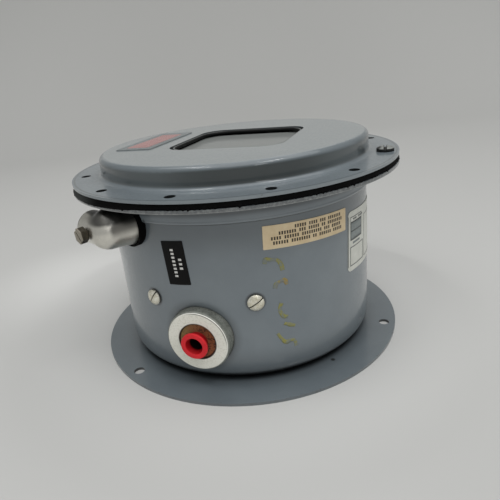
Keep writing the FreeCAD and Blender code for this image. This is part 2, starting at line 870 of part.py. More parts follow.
def sector_lever():
    """Bell crank: hub, slotted arm with the toothed rim, and a nose between the switch leaves."""
    pivot = point(sector_x, 0)
    low_z = sector_low_z
    root_radius = sector_pitch_radius - tooth_dedendum
    step = 2 * math.pi / sector_full_teeth
    first = math.pi + step * teeth_past_middle
    last = first - step * (sector_teeth - 1)
    edge = step * rim_end_share
    start, end = last - edge, first + edge
    inner = root_radius - sector_rim
    rim = Part.Face(outline(
        polar(inner, start, pivot),
        polar(root_radius, start, pivot),
        (polar(root_radius, (start + end) / 2, pivot), polar(root_radius, end, pivot)),
        polar(inner, end, pivot),
        (polar(inner, (start + end) / 2, pivot), polar(inner, start, pivot)),
    )).extrude(point(0, 0, sector_thick))
    web = Part.Face(outline(
        point(web_start_x, web_half), point(web_start_x, -web_half),
        polar(inner + over, end, pivot), polar(inner + over, start, pivot),
    )).extrude(point(0, 0, sector_thick))
    tooth = involute_tooth(sector_full_teeth, sector_thick)
    teeth = [
        moved(turned(tooth, math.degrees(first - step * number)), sector_x, 0, low_z)
        for number in range(sector_teeth)
    ]
    arm = link(pivot, sector_hub_radius, origin, arm_radius, low_z, sector_thick)
    tip = pivot + point(nose_reach, 0)
    finger = link(pivot, finger_radius, tip, finger_radius, low_z, sector_thick)
    nose = upright(nose_radius, tip.x, tip.y, low_z, low_z + sector_thick)
    hub = upright(sector_hub_radius, sector_x, 0, low_z, sector_hub_top_z)
    crank = joined([moved(rim, 0, 0, low_z), moved(web, 0, 0, low_z), arm, finger, nose, hub] + teeth)
    slot_half = drive_pin_radius + slot_play
    slot_end = point(slot_half_length, 0)
    slot = link(-slot_end, slot_half, slot_end, slot_half, low_z - over, sector_thick + 2 * over)
    bore = upright(post_radius + running_gap, sector_x, 0, low_z - over, sector_hub_top_z + over)
    return crank.cut(slot).cut(bore)


def sector_post():
    base = upright(post_base_radius, sector_x, 0, chassis_top_z, sector_low_z - lever_lift)
    journal = upright(post_radius, sector_x, 0, chassis_top_z, sector_hub_top_z + post_tip)
    tenon = upright(tenon_radius, sector_x, 0, chassis_z - tenon_tail, chassis_top_z)
    return joined([base, journal, tenon])


def sector_clip():
    low_z = sector_hub_top_z + clip_lift
    return ring(post_base_radius, post_radius + seat_gap, low_z, low_z + clip_thick, sector_x, 0)


def pointer_shaft():
    shaft = upright(shaft_radius, pointer_x, 0, shaft_low_z, shaft_top_z)
    collar = upright(shaft_collar_radius, pointer_x, 0, chassis_top_z + end_play, sector_low_z - pinion_side)
    return joined([shaft, collar])


def pointer_pinion():
    thick = sector_thick + 2 * pinion_side
    wheel = upright(pinion_pitch_radius - tooth_dedendum, 0, 0, 0, thick)
    tooth = involute_tooth(pinion_teeth, thick)
    teeth = [turned(tooth, 360 * number / pinion_teeth) for number in range(pinion_teeth)]
    bore = upright(shaft_radius + seat_gap, 0, 0, -over, thick + over)
    return moved(joined([wheel] + teeth).cut(bore), pointer_x, 0, sector_low_z - pinion_side)


def hand(length, tail, hub, tip, bore, low_z, thick, degrees):
    """Tapered dial hand with a round hub, turned from straight up."""
    arm = link(origin, hand_root_radius, point(length - tip, 0), tip, low_z, thick)
    eye = upright(hub, 0, 0, low_z, low_z + thick)
    shapes = [eye, arm]
    if tail:
        shapes.append(link(origin, hand_root_radius, point(-tail, 0), hand_tail_radius, low_z, thick))
    body = joined(shapes).cut(upright(bore, 0, 0, low_z - over, low_z + thick + over))
    return moved(turned(body, degrees), pointer_x, 0, 0)


def pointer():
    rest = math.degrees(pointer_turn) / 2
    return hand(
        pointer_length, pointer_tail, pointer_hub_radius, pointer_tip_radius,
        shaft_radius + seat_gap, pointer_z, pointer_thick, rest,
    )


def set_pointer(low_z, degrees):
    return hand(
        set_pointer_length, 0, hub_radius + set_pointer_eye, set_pointer_tip_radius,
        hub_radius + running_gap, low_z, set_pointer_thick, degrees,
    )


def dial_plate():
    disc = upright(dial_radius, 0, 0, dial_z, dial_top_z)
    disc = drilled(disc, pillar_places(), clear(dial_screw), dial_z - over, dial_top_z + over)
    return drilled(disc, [point(pointer_x, 0)], hub_radius + seat_gap, dial_z - over, dial_top_z + over)


def dial_hub():
    tube = upright(hub_radius, pointer_x, 0, dial_z - hub_tail, hub_top_z)
    flange = upright(hub_flange_radius, pointer_x, 0, dial_top_z, dial_top_z + hub_flange_thick)
    bore = upright(shaft_radius + running_gap, pointer_x, 0, dial_z - hub_tail - over, hub_top_z + over)
    return joined([tube, flange]).cut(bore)


def dial_pillars():
    pillar = upright(pillar_radius, 0, 0, chassis_top_z, dial_z)
    tenon = upright(tenon_radius, 0, 0, chassis_z - tenon_tail, chassis_top_z)
    hole = upright(tapped(dial_screw), 0, 0, dial_z - pillar_tap_depth, dial_z + over)
    shape = joined([pillar, tenon]).cut(hole)
    return Part.makeCompound([moved(shape, at.x, at.y, 0) for at in pillar_places()])


def dial_screws():
    screw = slotted_screw(dial_screw, dial_screw_length)
    return Part.makeCompound([moved(screw, at.x, at.y, dial_top_z) for at in pillar_places()])


def nose_at(turn):
    return polar(nose_reach, turn, point(sector_x, 0))


def leaf_hinges():
    """Hinge centres of the two leaves, each set by its leaf lying flat against the sector's nose."""
    stand = nose_radius + leaf_play + leaf_eye
    return {
        "high": point(leaf_hinge_x, nose_at(sector_turn).y + stand),
        "low": point(leaf_hinge_x, nose_at(0).y - stand),
    }


def leaf_rest_degrees(side):
    """The low leaf rests pressed flat. The high leaf rests open, on the nose at zero pressure."""
    if side == "low":
        return 0.0
    hinge = leaf_hinges()["high"]
    nose = nose_at(0)
    drop = hinge.y - (nose.y + nose_radius + leaf_play)
    along = hinge.x - nose.x
    return math.degrees(math.asin(drop / math.hypot(along, leaf_eye)) - math.atan2(leaf_eye, along))


def side_sign(side):
    return 1 if side == "high" else -1


def switch_face_y(side):
    return leaf_hinges()[side].y + side_sign(side) * leaf_stand


def switch_screw_places():
    places = []
    for side in ("low", "high"):
        face = switch_face_y(side)
        sign = side_sign(side)
        inset = switch_screw_inset
        places.append(point(switch_x + inset, face + sign * inset))
        places.append(point(switch_x + switch_length - inset, face + sign * (switch_height - inset)))
    return places


def across_y(face, sign, near, far):
    """Y limits of something that runs from near to far behind a switch's face."""
    return min(face + sign * near, face + sign * far), max(face + sign * near, face + sign * far)


def snap_switch(side):
    """Moulded switch body with two hinge ears and a hole for its plunger."""
    face = switch_face_y(side)
    sign = side_sign(side)
    low_y, high_y = across_y(face, sign, 0, switch_height)
    high_z = chassis_top_z + switch_thick
    body = rounded_slab(
        switch_x + switch_length / 2, (low_y + high_y) / 2, switch_length, switch_height,
        switch_corner, chassis_top_z, high_z,
    )
    hinge = leaf_hinges()[side]
    ear_low, ear_high = across_y(face, sign, -leaf_stand - leaf_eye, over)
    middle = chassis_top_z + switch_thick / 2
    ears = []
    for lift in (-1, 1):
        inner = middle + lift * (leaf_width / 2 + ear_gap)
        outer = inner + lift * ear_thick
        ears.append(block(
            point(hinge.x - ear_half, ear_low, min(inner, outer)),
            point(hinge.x + ear_half, ear_high, max(inner, outer)),
        ))
    pin_hole = upright(leaf_pin_radius + seat_gap, hinge.x, hinge.y, chassis_top_z, high_z)
    plunger_hole = rod(
        plunger_radius + running_gap,
        point(plunger_x, face - sign * over, middle),
        point(plunger_x, face + sign * plunger_hole_depth, middle),
    )
    body = joined([body] + ears).cut(pin_hole).cut(plunger_hole)
    places = [at for at in switch_screw_places() if low_y < at.y < high_y]
    return drilled(body, places, clear(switch_screw), chassis_top_z - over, high_z + over)


def switch_screws():
    screw = slotted_screw(switch_screw, switch_thick + chassis_thick)
    high_z = chassis_top_z + switch_thick
    return Part.makeCompound([moved(screw, at.x, at.y, high_z) for at in switch_screw_places()])


def switch_blades():
    blades = []
    middle = chassis_top_z + switch_thick / 2
    for side in ("low", "high"):
        far = switch_height + blade_length
        low_y, high_y = across_y(switch_face_y(side), side_sign(side), switch_height, far)
        for number in range(blade_count):
            x = switch_x + blade_first + number * blade_pitch
            blades.append(block(
                point(x, low_y, middle - blade_half), point(x + blade_thick, high_y, middle + blade_half),
            ))
    return Part.makeCompound(blades)


def leaf_pins():
    middle = chassis_top_z + switch_thick / 2
    half = leaf_width / 2 + ear_gap + ear_thick
    places = leaf_hinges().values()
    return Part.makeCompound(
        [upright(leaf_pin_radius, at.x, at.y, middle - half, middle + half) for at in places]
    )


def switch_leaf(side):
    """Flat spring leaf with a rolled eye on its hinge pin."""
    hinge = leaf_hinges()[side]
    sign = side_sign(side)
    low_z = chassis_top_z + switch_thick / 2 - leaf_width / 2
    eye = upright(leaf_eye, 0, 0, low_z, low_z + leaf_width)
    low_y, high_y = across_y(0, -sign, leaf_eye - leaf_thick, leaf_eye)
    strip = block(point(-leaf_length, low_y, low_z), point(0, high_y, low_z + leaf_width))
    bore = upright(leaf_pin_radius + running_gap, 0, 0, low_z - over, low_z + leaf_width + over)
    leaf = joined([eye, strip]).cut(bore)
    return moved(turned(leaf, leaf_rest_degrees(side)), hinge.x, hinge.y, 0)


def switch_plunger(side):
    hinge = leaf_hinges()[side]
    sign = side_sign(side)
    along = hinge.x - plunger_x
    tilt = math.radians(leaf_rest_degrees(side))
    back = hinge.y - sign * (along * math.sin(tilt) + (leaf_eye - leaf_thick) * math.cos(tilt))
    tip = back + sign * plunger_play
    middle = chassis_top_z + switch_thick / 2
    return rod(
        plunger_radius,
        point(plunger_x, tip, middle), point(plunger_x, tip + sign * plunger_length, middle),
    )


def pole_centres():
    first = -strip_pitch * (strip_poles - 1) / 2
    return [first + strip_pitch * number for number in range(strip_poles)]


def terminal_strip():
    """Moulded barrier strip: a low base with a rib between poles and screwed ends."""
    low_z = chassis_top_z
    half = strip_width / 2
    base = block(point(strip_x, -half, low_z), point(strip_x + strip_depth, half, low_z + strip_base))
    ribs = []
    for number in range(strip_poles + 1):
        y = strip_pitch * (number - strip_poles / 2)
        ribs.append(block(
            point(strip_x, y - strip_rib / 2, low_z),
            point(strip_x + strip_depth, y + strip_rib / 2, low_z + strip_top),
        ))
    body = joined([base] + ribs)
    body = drilled(body, strip_screw_places(), clear(strip_screw), low_z - over, low_z + strip_top)
    poles = [point(strip_x + strip_depth / 2, y) for y in pole_centres()]
    return drilled(body, poles, tapped(clamp_screw), low_z + clamp_hole_floor, low_z + strip_top)


def terminal_screws():
    high_z = chassis_top_z + strip_base
    x = strip_x + strip_depth / 2
    clamp = slotted_screw(clamp_screw, clamp_screw_length)
    fixing = slotted_screw(strip_screw, strip_base + chassis_thick)
    screws = [moved(clamp, x, y, high_z) for y in pole_centres()]
    screws += [moved(fixing, at.x, at.y, high_z) for at in strip_screw_places()]
    return Part.makeCompound(screws)


def all_pieces():
    casting = port_casting()
    corrugated = bellows()
    pieces = {
        "back_plate": back_plate(),
        "case_shell": case_shell(),
        "case_flange": case_flange(),
        "flange_gasket": flange_gasket(),
        "cover": cover(),
        "cover_screws": cover_screws(),
        "window_gasket": window_gasket(),
        "window_glass": window_glass(),
        "window_retainer": window_retainer(),
        "window_studs": window_studs(),
        "window_nuts": window_nuts(),
        "low_port_casting": casting,
        "high_port_casting": turned(casting, 180),
        "port_screws": port_screws(),
        "low_port_bushing": port_bushing(),
        "low_port_plug": port_plug(),
        "conduit_elbow": conduit_elbow(),
        "conduit_set_screw": conduit_set_screw(),
        "conduit_seal": conduit_seal(),
        "conduit_locknut": conduit_locknut(),
        "port_label": wall_label(port_label_place),
        "side_label": wall_label(side_label_place),
        "data_label": wall_label(data_label_place),
        "cover_nameplate": cover_nameplate(),
        "chassis": chassis(),
        "chassis_screws": chassis_screws(),
        "low_bellows": corrugated,
        "high_bellows": turned(corrugated, 180),
        "bellows_yoke": bellows_yoke(),
        "drive_pin": drive_pin(),
        "sector_lever": sector_lever(),
        "sector_post": sector_post(),
        "sector_clip": sector_clip(),
        "pointer_shaft": pointer_shaft(),
        "pointer_pinion": pointer_pinion(),
        "pointer": pointer(),
        "low_set_pointer": set_pointer(low_set_z, low_set_angle),
        "high_set_pointer": set_pointer(high_set_z, high_set_angle),
        "dial_plate": dial_plate(),
        "dial_hub": dial_hub(),
        "dial_pillars": dial_pillars(),
        "dial_screws": dial_screws(),
        "switch_screws": switch_screws(),
        "switch_blades": switch_blades(),
        "leaf_pins": leaf_pins(),
        "terminal_strip": terminal_strip(),
        "terminal_screws": terminal_screws(),
    }
    for side in ("low", "high"):
        pieces[side + "_switch"] = snap_switch(side)
        pieces[side + "_leaf"] = switch_leaf(side)
        pieces[side + "_plunger"] = switch_plunger(side)
    return pieces


def main():
    os.makedirs("parts", exist_ok=True)
    for name, shape in all_pieces().items():
        shape.exportStep(os.path.join("parts", name + ".step"))
        print(name, "solids", len(shape.Solids), "valid", shape.isValid(), "volume", round(shape.Volume, 1))


main()
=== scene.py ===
import functools
import math

import bmesh
import bpy
import numpy as np
from mathutils import Matrix, Vector


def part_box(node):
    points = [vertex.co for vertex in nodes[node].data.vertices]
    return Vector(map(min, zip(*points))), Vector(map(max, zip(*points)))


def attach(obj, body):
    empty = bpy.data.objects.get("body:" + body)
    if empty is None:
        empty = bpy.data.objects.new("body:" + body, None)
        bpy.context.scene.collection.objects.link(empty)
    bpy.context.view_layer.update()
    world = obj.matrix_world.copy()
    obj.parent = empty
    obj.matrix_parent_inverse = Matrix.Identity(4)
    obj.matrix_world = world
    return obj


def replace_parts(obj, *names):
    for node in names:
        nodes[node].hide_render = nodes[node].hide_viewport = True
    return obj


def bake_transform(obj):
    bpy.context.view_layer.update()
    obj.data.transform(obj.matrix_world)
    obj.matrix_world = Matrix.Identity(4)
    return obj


# Round pressure switch lying on its wall plate, seen from above its low pressure port
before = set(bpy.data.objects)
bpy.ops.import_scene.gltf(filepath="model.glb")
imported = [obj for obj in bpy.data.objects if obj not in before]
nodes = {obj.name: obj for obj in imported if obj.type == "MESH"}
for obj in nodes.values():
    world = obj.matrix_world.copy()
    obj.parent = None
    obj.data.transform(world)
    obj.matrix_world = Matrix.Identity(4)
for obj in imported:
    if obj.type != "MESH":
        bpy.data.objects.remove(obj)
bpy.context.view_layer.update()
mm = 0.001


# A node's lowest and highest corners in millimetres
def boxMm(node):
    return [np.array(corner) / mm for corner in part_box(node)]


caseRadius = float(boxMm("case_shell")[1][0])
portZ = float(np.mean([corner[2] for corner in boxMm("low_port_plug")]))
portFace = -float(boxMm("low_port_casting")[0][1])  # how far out the ports' turned faces stand
print("frame loaded with", len(nodes), "nodes")


# Colours are written as sRGB hex and handed to the nodes as linear values, by the sRGB curve
def toLinear(hexColour, alpha=1.0):
    channels = np.array([int(hexColour[i:i + 2], 16) for i in (1, 3, 5)]) / 255
    linear = np.where(channels <= 0.04045, channels / 12.92, ((channels + 0.055) / 1.055) ** 2.4)
    return (*[float(c) for c in linear], alpha)


# Adds one node: settings are its properties, inputs are values or links by name or number, and it gives
# back the output that is named, or else the first one in use
def addNode(tree, kind, inputs, output=None, **settings):
    node = tree.nodes.new("ShaderNode" + kind)
    for name, value in settings.items():
        setattr(node, name, value)
    for name, value in inputs.items():
        if isinstance(value, bpy.types.NodeSocket):
            tree.links.new(value, node.inputs[name])
        else:
            node.inputs[name].default_value = value
    if output:
        return node.outputs[output]
    return next((socket for socket in node.outputs if socket.enabled), None)


# The noise of each pattern, and the part of it, or of the facing angle, that is spread over the effect
noises = {
    "speck": {"Detail": 5.0, "Roughness": 0.7},
    "drift": {"Detail": 4.0, "Roughness": 0.6},
    "grain": {"Detail": 3.0, "Roughness": 0.55},
}
spreads = {
    "drift": {"From Min": 0.35, "From Max": 0.7},
    "grain": {"From Min": 0.3, "From Max": 0.7},
    "facing": {"From Min": 0.25, "From Max": 0.7},
}

# What a mark can go by: X, Y or Z in mm, how far the face looks up, a speckle, the piece's own dirt and
# painted shade, or a distance from the axis of the case or of the ports, or from any point; an axis is a
# point on it and the directions that count
axes = {"axis": ((0, 0, 0), (1, 1, 0)), "port": ((0, 0, portZ), (1, 0, 1))}
everyWay = (1, 1, 1)


def readMeasure(add, place, measure, speckMm):
    if measure == "speck":
        return add("TexNoise", {"Vector": place, "Scale": 1 / speckMm, **noises["speck"]})
    if measure == "up":
        return add("SeparateXYZ", {0: add("NewGeometry", {}, "Normal")}, "Z")
    if measure == "dirt":
        return add("Attribute", {}, "Fac", attribute_name="dirt")
    if measure in ("X", "Y", "Z"):
        return add("SeparateXYZ", {0: place}, measure)
    centre, counted = axes.get(measure, (measure, everyWay))
    apart = add("VectorMath", {0: place, 1: centre}, operation="SUBTRACT")
    flat = add("VectorMath", {0: apart, 1: counted}, operation="MULTIPLY")
    return add("VectorMath", {0: flat}, "Value", operation="LENGTH")


# One finish: its colour drifts between two tones, marks lie over that in turn, and a fine grain varies
# its gloss and lifts its surface. A mark is a colour, its share and limits (measure, off, on): each
# limit rises smoothly from off to on, and the mark shows by their product. Sizes and heights are in
# millimetres. Sockets 0, 6 and 7 of a colour mix are its share and its two colours
def makeFinish(name, tones, driftMm=6.0, gloss=(0.35, 0.45), grainMm=0.8, grainHeight=0.01, swell=0.0,
               marks=(), speckMm=2.2, clearest=None, **sockets):
    material = bpy.data.materials.new(name)
    material.use_nodes = True
    material.node_tree.nodes.clear()
    add = functools.partial(addNode, material.node_tree)
    place = add("VectorMath", {0: add("TexCoord", {}, "Object"), "Scale": 1 / mm}, operation="SCALE")
    drift = add("TexNoise", {"Vector": place, "Scale": 1 / driftMm, **noises["drift"]})
    share = add("MapRange", {"Value": drift, **spreads["drift"]})
    colour = add("Mix", {0: share, 6: toLinear(tones[0]), 7: toLinear(tones[1])}, data_type="RGBA")
    known = {}
    for markColour, weight, limits in marks:
        for measure, off, on in limits:
            if measure not in known:
                known[measure] = readMeasure(add, place, measure, speckMm)
            rise = add("MapRange", {"Value": known[measure], "From Min": off, "From Max": on},
                       interpolation_type="SMOOTHSTEP")
            weight = add("Math", {0: weight, 1: rise}, operation="MULTIPLY")
        colour = add("Mix", {0: weight, 6: colour, 7: toLinear(markColour)}, data_type="RGBA")
    grain = add("TexNoise", {"Vector": place, "Scale": 1 / grainMm, **noises["grain"]})
    inputs = {socket.replace("_", " "): value for socket, value in sockets.items()}
    inputs["Base Color"] = colour
    ends = {"To Min": gloss[0], "To Max": gloss[1]}
    inputs["Roughness"] = add("MapRange", {"Value": grain, **spreads["grain"], **ends})
    bump = {"Height": grain, "Distance": grainHeight * mm}
    if swell:
        bump["Normal"] = add("Bump", {"Height": drift, "Distance": swell * mm})
    inputs["Normal"] = add("Bump", bump)
    if clearest:
        facing = add("LayerWeight", {"Blend": 0.5}, "Facing")
        ends = {"To Min": clearest[0], "To Max": clearest[1]}
        inputs["Transmission Weight"] = add("MapRange", {"Value": facing, **spreads["facing"], **ends})
    add("OutputMaterial", {"Surface": add("BsdfPrincipled", inputs)})
    return material


# Screws beside the ports, two at each: angle round the case, turn of the slot, height and head
portScrews = {
    "angles": (-110.0, -67.4, 70.0, 112.6), "slots": (-35.0, -58.0, 60.0, -10.0), "height": 47.7,
    "radius": 4.15, "tall": 2.5, "edge": 0.5, "power": 3.2, "slotHalf": 0.085,
    "lipDirt": 0.0, "rimDirt": 0.0,
}
screwPlaces = [
    (caseRadius * math.cos(a), caseRadius * math.sin(a), portScrews["height"])
    for a in np.radians(portScrews["angles"])
]

# Baked enamel on drawn steel, sprayed: a semi-gloss bluish machine grey with a faint orange peel and slow
# changes of tone, a little dust on what faces up, grime in corners, and dark chips along the rims. Some
# of the photograph's shade is painted on too, by place
enamel = {
    "tones": ("#677076", "#717a7f"), "driftMm": 34.0, "gloss": (0.31, 0.41), "grainMm": 1.4,
    "IOR": 1.6, "Coat_Weight": 0.8, "Coat_Roughness": 0.1,
}
wallFaces = ("up", 0.5, 0.2)  # faces that stand upright
caseMarks = [
    ("#22282a", 0.45, [("Z", 24.0, 7.0)]),  # the wall darkens towards the foot
    ("#070808", 0.97, [("Z", 7.8, 5.6)]),  # painted shade where the foot turns under
    ("#454b4e", 0.55, [("Z", 68.0, 87.0)]),  # and where the flange keeps light off the wall
    ("#2b2f30", 0.4, [("port", 22.0, 17.0)]),  # painted shade round the ports, where the bosses meet the wall
    ("#2b2f30", 0.5, [("port", 18.2, 16.9)]),
]
caseMarks += [("#24282a", 0.7, [(place, 5.7, 4.5)]) for place in screwPlaces]  # and painted shade round the screw heads
flangeEdge = ("axis", 92.2, 92.4)
collar = ("axis", 80.0, 78.0)
flangeMarks = [
    ("#2a2c2b", 0.85, [("up", -0.5, -0.9)]),  # painted shade underneath
    ("#464747", 0.8, [flangeEdge]),  # the edge is rubbed and dull, darkest by the conduit
    ("#2c2f2d", 0.85, [flangeEdge, ("X", -40.0, -58.0)]),
    ("#a6a9a6", 0.22, [flangeEdge, ("speck", 0.46, 0.6)]),  # with light and dark flecks
    ("#393c3c", 0.35, [flangeEdge, ("speck", 0.44, 0.36)]),
    ("#b7b9b5", 0.2, [flangeEdge, ("Z", 100.2, 99.7)]),
    ("#33373a", 0.72, [("Z", 91.8, 94.2), collar]),  # painted shade on the collar under the flange
    # painted highlight along the collar's lower edge
    ("#8f9496", 0.15, [("Z", 92.4, 90.4), collar]),
]
plateMarks = [
    ("#565f64", 0.3, [("up", 0.4, 1.0)]),  # the top is a little darker
    ("#040505", 0.92, [("axis", 75.0, 69.5)]),  # painted shadow of the foot, and its soft edge
    ("#15181a", 0.3, [("axis", 82.0, 71.0)]),
    ("#141515", 0.9, [wallFaces, ("axis", 80.0, 81.0), ("axis", 90.5, 89.5)]),  # painted shade on the walls of the holes
    ("#262625", 0.95, [((60.9, -44.3, 1.6), 1.5, 0.8)]),  # one chip through to the steel
    ("#3b3d3e", 0.8, [("axis", 90.2, 91.3), ("speck", 0.58, 0.66)]),  # small chips along the rim
    ("#3a3d3e", 0.5, [("axis", 91.2, 91.4), wallFaces]),  # rubbed edge
]
coverWall = [("Z", 105.9, 107.2), ("Z", 115.6, 113.4), ("up", 0.7, 0.2), ("axis", 70.0, 75.0)]
coverMarks = [
    ("#999c9a", 0.12, [("up", 0.4, 1.0), ("speck", 0.3, 0.75)]),  # flecks of dust
    ("#a8acaa", 0.4, [("up", 0.88, 1.0), ("Z", 110.0, 114.5)]),  # a film of dust and a painted sheen on the top
    ("#535a5c", 0.35, [("up", 0.99, 0.85), ("up", 0.2, 0.5), ("Z", 111.0, 114.0)]),  # painted shade over the shoulder
    ("#3b403e", 0.68, coverWall),  # the wall is painted darker, grime and shade together
    ("#1d2221", 0.6, [*coverWall, ((33.0, -69.0, 111.0), 50.0, 16.0)]),  # most of all in front
    ("#0b0c0c", 0.95, [wallFaces, ("axis", 80.0, 81.0), ("axis", 91.3, 90.5)]),  # painted shade on the walls of the holes
    ("#4a4e4f", 0.95, [wallFaces, ("axis", 58.0, 54.0)]),  # the window's cut edge is darker
    ("#43484a", 0.6, [("axis", 90.4, 90.8), ("axis", 91.8, 91.3), ("up", 0.4, 0.9)]),  # painted shade of a groove round the rim
    ("#969b9b", 0.25, [("axis", 92.2, 92.35), ("up", 0.6, 0.3)]),  # rubbed edge
    ("#3b3d3e", 0.7, [("axis", 91.2, 92.2), ("speck", 0.62, 0.68)]),  # small chips
]
enamelCase = makeFinish("baked grey enamel, case", marks=caseMarks, **enamel)
enamelFlange = makeFinish("baked grey enamel, flange", marks=flangeMarks, speckMm=1.5, **enamel)
enamelPlate = makeFinish("baked grey enamel, wall plate", marks=plateMarks, **enamel)
coverEnamel = {**enamel, "Coat_Roughness": 0.07, "Specular_IOR_Level": 0.2}
enamelCover = makeFinish("baked grey enamel, cover", marks=coverMarks, **coverEnamel)

# Cut neoprene sheet: black and dull, with dust in its grain and a painted sheen on the side by the conduit
rubberMarks = [("#474a48", 0.7, [("X", -38.0, -60.0), ("axis", 85.0, 90.0)])]
rubber = makeFinish("neoprene rubber", ("#020202", "#060606"), driftMm=1.6, gloss=(0.7, 0.85),
                    grainMm=1.6, grainHeight=0.08, marks=rubberMarks, IOR=1.4, Specular_IOR_Level=0.12)

# Moulded rubber channel: black, with dust and a painted highlight along its back, most at the left side
# and the right corner
sealMarks = [
    ("#626564", 0.2, [("up", 0.8, 0.98)]),
    ("#7d807f", 0.6, [("up", 0.8, 0.98), ("X", -14.0, -22.0)]),
    ("#7d807f", 0.6, [("up", 0.8, 0.98), ("X", 28.0, 33.0)]),
]
sealRubber = makeFinish("moulded rubber channel", ("#040505", "#080909"), driftMm=3.0, gloss=(0.45, 0.58),
                        grainMm=1.2, grainHeight=0.02, marks=sealMarks, IOR=1.45, Specular_IOR_Level=0.3)

# Zinc-plated steel, machined and barrel plated: yellowish silver with straw stains, and dirt and painted
# shade in the slots
slotDirtAndShade = ("#2a261c", 0.95, [("dirt", 0.0, 0.9)])
zinc = makeFinish("zinc plated steel", ("#efede1", "#c4bda3"), driftMm=2.6, gloss=(0.24, 0.42),
                  grainMm=0.5, grainHeight=0.012, marks=[slotDirtAndShade], Metallic=0.5)

# Plain steel screw gone dull: grey and matt with black grease round its side and one spot on its head
greaseMarks = [
    ("#0c0c0b", 0.97, [("dirt", 0.0, 0.8)]),
    ("#181817", 0.85, [((80.9, -1.6, 107.6), 3.2, 1.6)]),
]
dullSteel = makeFinish("greasy steel screw", ("#8f928f", "#737673"), driftMm=2.2, gloss=(0.42, 0.6),
                       grainMm=0.7, grainHeight=0.03, marks=greaseMarks, Metallic=0.35)

# Oiled plain steel: nearly black where oil has dried, rubbed to grey on the face
rubbedFace = ("#a59e90", 0.8, [("axis", 100.2, 100.6)])
darkSteel = makeFinish("oiled plain steel", ("#4b4539", "#2d2921"), driftMm=2.4, gloss=(0.34, 0.5),
                       grainMm=0.5, grainHeight=0.012, marks=[rubbedFace], Metallic=0.6)

# Drawn bright steel: clean grey metal with a fine even grain
brightSteel = makeFinish("drawn bright steel", ("#b9bbba", "#9a9b98"), driftMm=5.0, gloss=(0.2, 0.34),
                         grainMm=0.5, Metallic=1.0)

# Iron port casting, tumbled and dull plated: grainy grey side, turned pale face with a painted highlight
# on its lip and painted shade in a groove inside it, and a brown bore
lowFace = [("Y", -portFace + 0.5, -portFace + 0.15), ("port", 16.35, 16.2)]
highFace = [("Y", portFace - 0.5, portFace - 0.15), ("port", 16.35, 16.2)]
paintedLightSide = (9.0, -portFace, portZ + 11.0)  # where a highlight on the low port's lip and shade in the groove inside it are painted
portMarks = [
    ("#5b5e59", 0.8, [("speck", 0.5, 0.62)]),  # dark grains
    ("#ecebe1", 1.0, lowFace),  # the turned face, a little stained
    ("#b9b9a6", 0.3, [*lowFace, ("speck", 0.5, 0.62)]),
    ("#c3c4b6", 0.35, [*lowFace, ((-9.0, -portFace, portZ - 9.0), 14.0, 6.0)]),
    ("#ecebe1", 1.0, highFace),
    ("#fbfbf5", 0.95, [*lowFace, ("port", 15.75, 15.85), (paintedLightSide, 22.0, 11.0)]),  # painted highlight on its lip
    # painted shade of a groove inside the lip
    ("#4b4d48", 0.75, [*lowFace, ("port", 15.2, 15.4), ("port", 15.85, 15.7), (paintedLightSide, 16.0, 9.0)]),
    ("#3b2719", 1.0, [("port", 10.15, 9.95)]),  # rust in the bore and at its edge
    ("#2a1a11", 0.8, [("port", 10.5, 10.05), ("Y", -portFace + 0.5, -portFace + 0.1)]),
]
plated = makeFinish("plated iron casting", ("#8f928b", "#7a7d76"), driftMm=5.0, gloss=(0.42, 0.6),
                    grainMm=0.9, grainHeight=0.05, marks=portMarks, speckMm=0.9, Metallic=0.3)

# Rusted iron bushing: dull brown, paler and oily on the left, redder and pitted on the right
rustMarks = [
    ("#94804f", 0.65, [("X", 2.0, -7.0)]),
    ("#8c512d", 0.6, [("X", 1.0, 7.0)]),
    ("#8a6240", 0.6, [((-1.0, -portFace, portZ + 9.0), 6.5, 2.5)]),
    ("#1f0f07", 0.9, [("speck", 0.47, 0.58), ("X", -2.0, 4.0)]),
    ("#2a160c", 0.5, [("speck", 0.52, 0.64)]),
    # painted shade round its rim, where it meets the bore
    ("#1d120b", 0.85, [("port", 9.1, 9.7)]),
]
rustyIron = makeFinish("rusted iron bushing", ("#7b472b", "#613622"), driftMm=2.0, gloss=(0.7, 0.85),
                       grainMm=0.5, grainHeight=0.06, marks=rustMarks, speckMm=1.1)

# Tumbled die-cast aluminium: satin, slightly wavy, with grey stains, painted shade where the flange shades
# it, and a painted dark reflection of the flange on its top
castMarks = [
    ("#8d8b84", 0.25, [("speck", 0.55, 0.75)]),
    # painted shade along the neck
    ("#72706c", 0.85, [("Z", 83.5, 88.5), ("axis", 92.6, 90.4)]),
    ("#4b4f48", 0.6, [("axis", 80.5, 78.5), ("up", 0.1, -0.5)]),
    # painted dark reflection of the flange over the top
    ("#4c4c4a", 0.9, [("Z", 90.4, 92.2), ((-33.7, -74.9, 96.0), 18.5, 13.0)]),
    # painted shade where the neck runs under the flange
    ("#2c2c2a", 0.5, [("Z", 88.6, 91.4), ("axis", 88.0, 83.0)]),
]
castMetal = makeFinish("tumbled cast aluminium", ("#e6e3da", "#d3d0c7"), driftMm=9.0, gloss=(0.28, 0.36),
                       grainHeight=0.004, swell=0.05, marks=castMarks, speckMm=3.0, Metallic=1.0)

# Rolled brass and bronze strip: warm yellow metal, darker where it has tarnished
yellowMetal = {"driftMm": 3.0, "grainMm": 0.5, "grainHeight": 0.012, "Metallic": 1.0}
brass = makeFinish("rolled brass", ("#c3a35c", "#9a7c41"), gloss=(0.22, 0.4), **yellowMetal)
springBronze = makeFinish("spring bronze strip", ("#b98a5a", "#96683f"), gloss=(0.2, 0.38),
                          **yellowMetal)

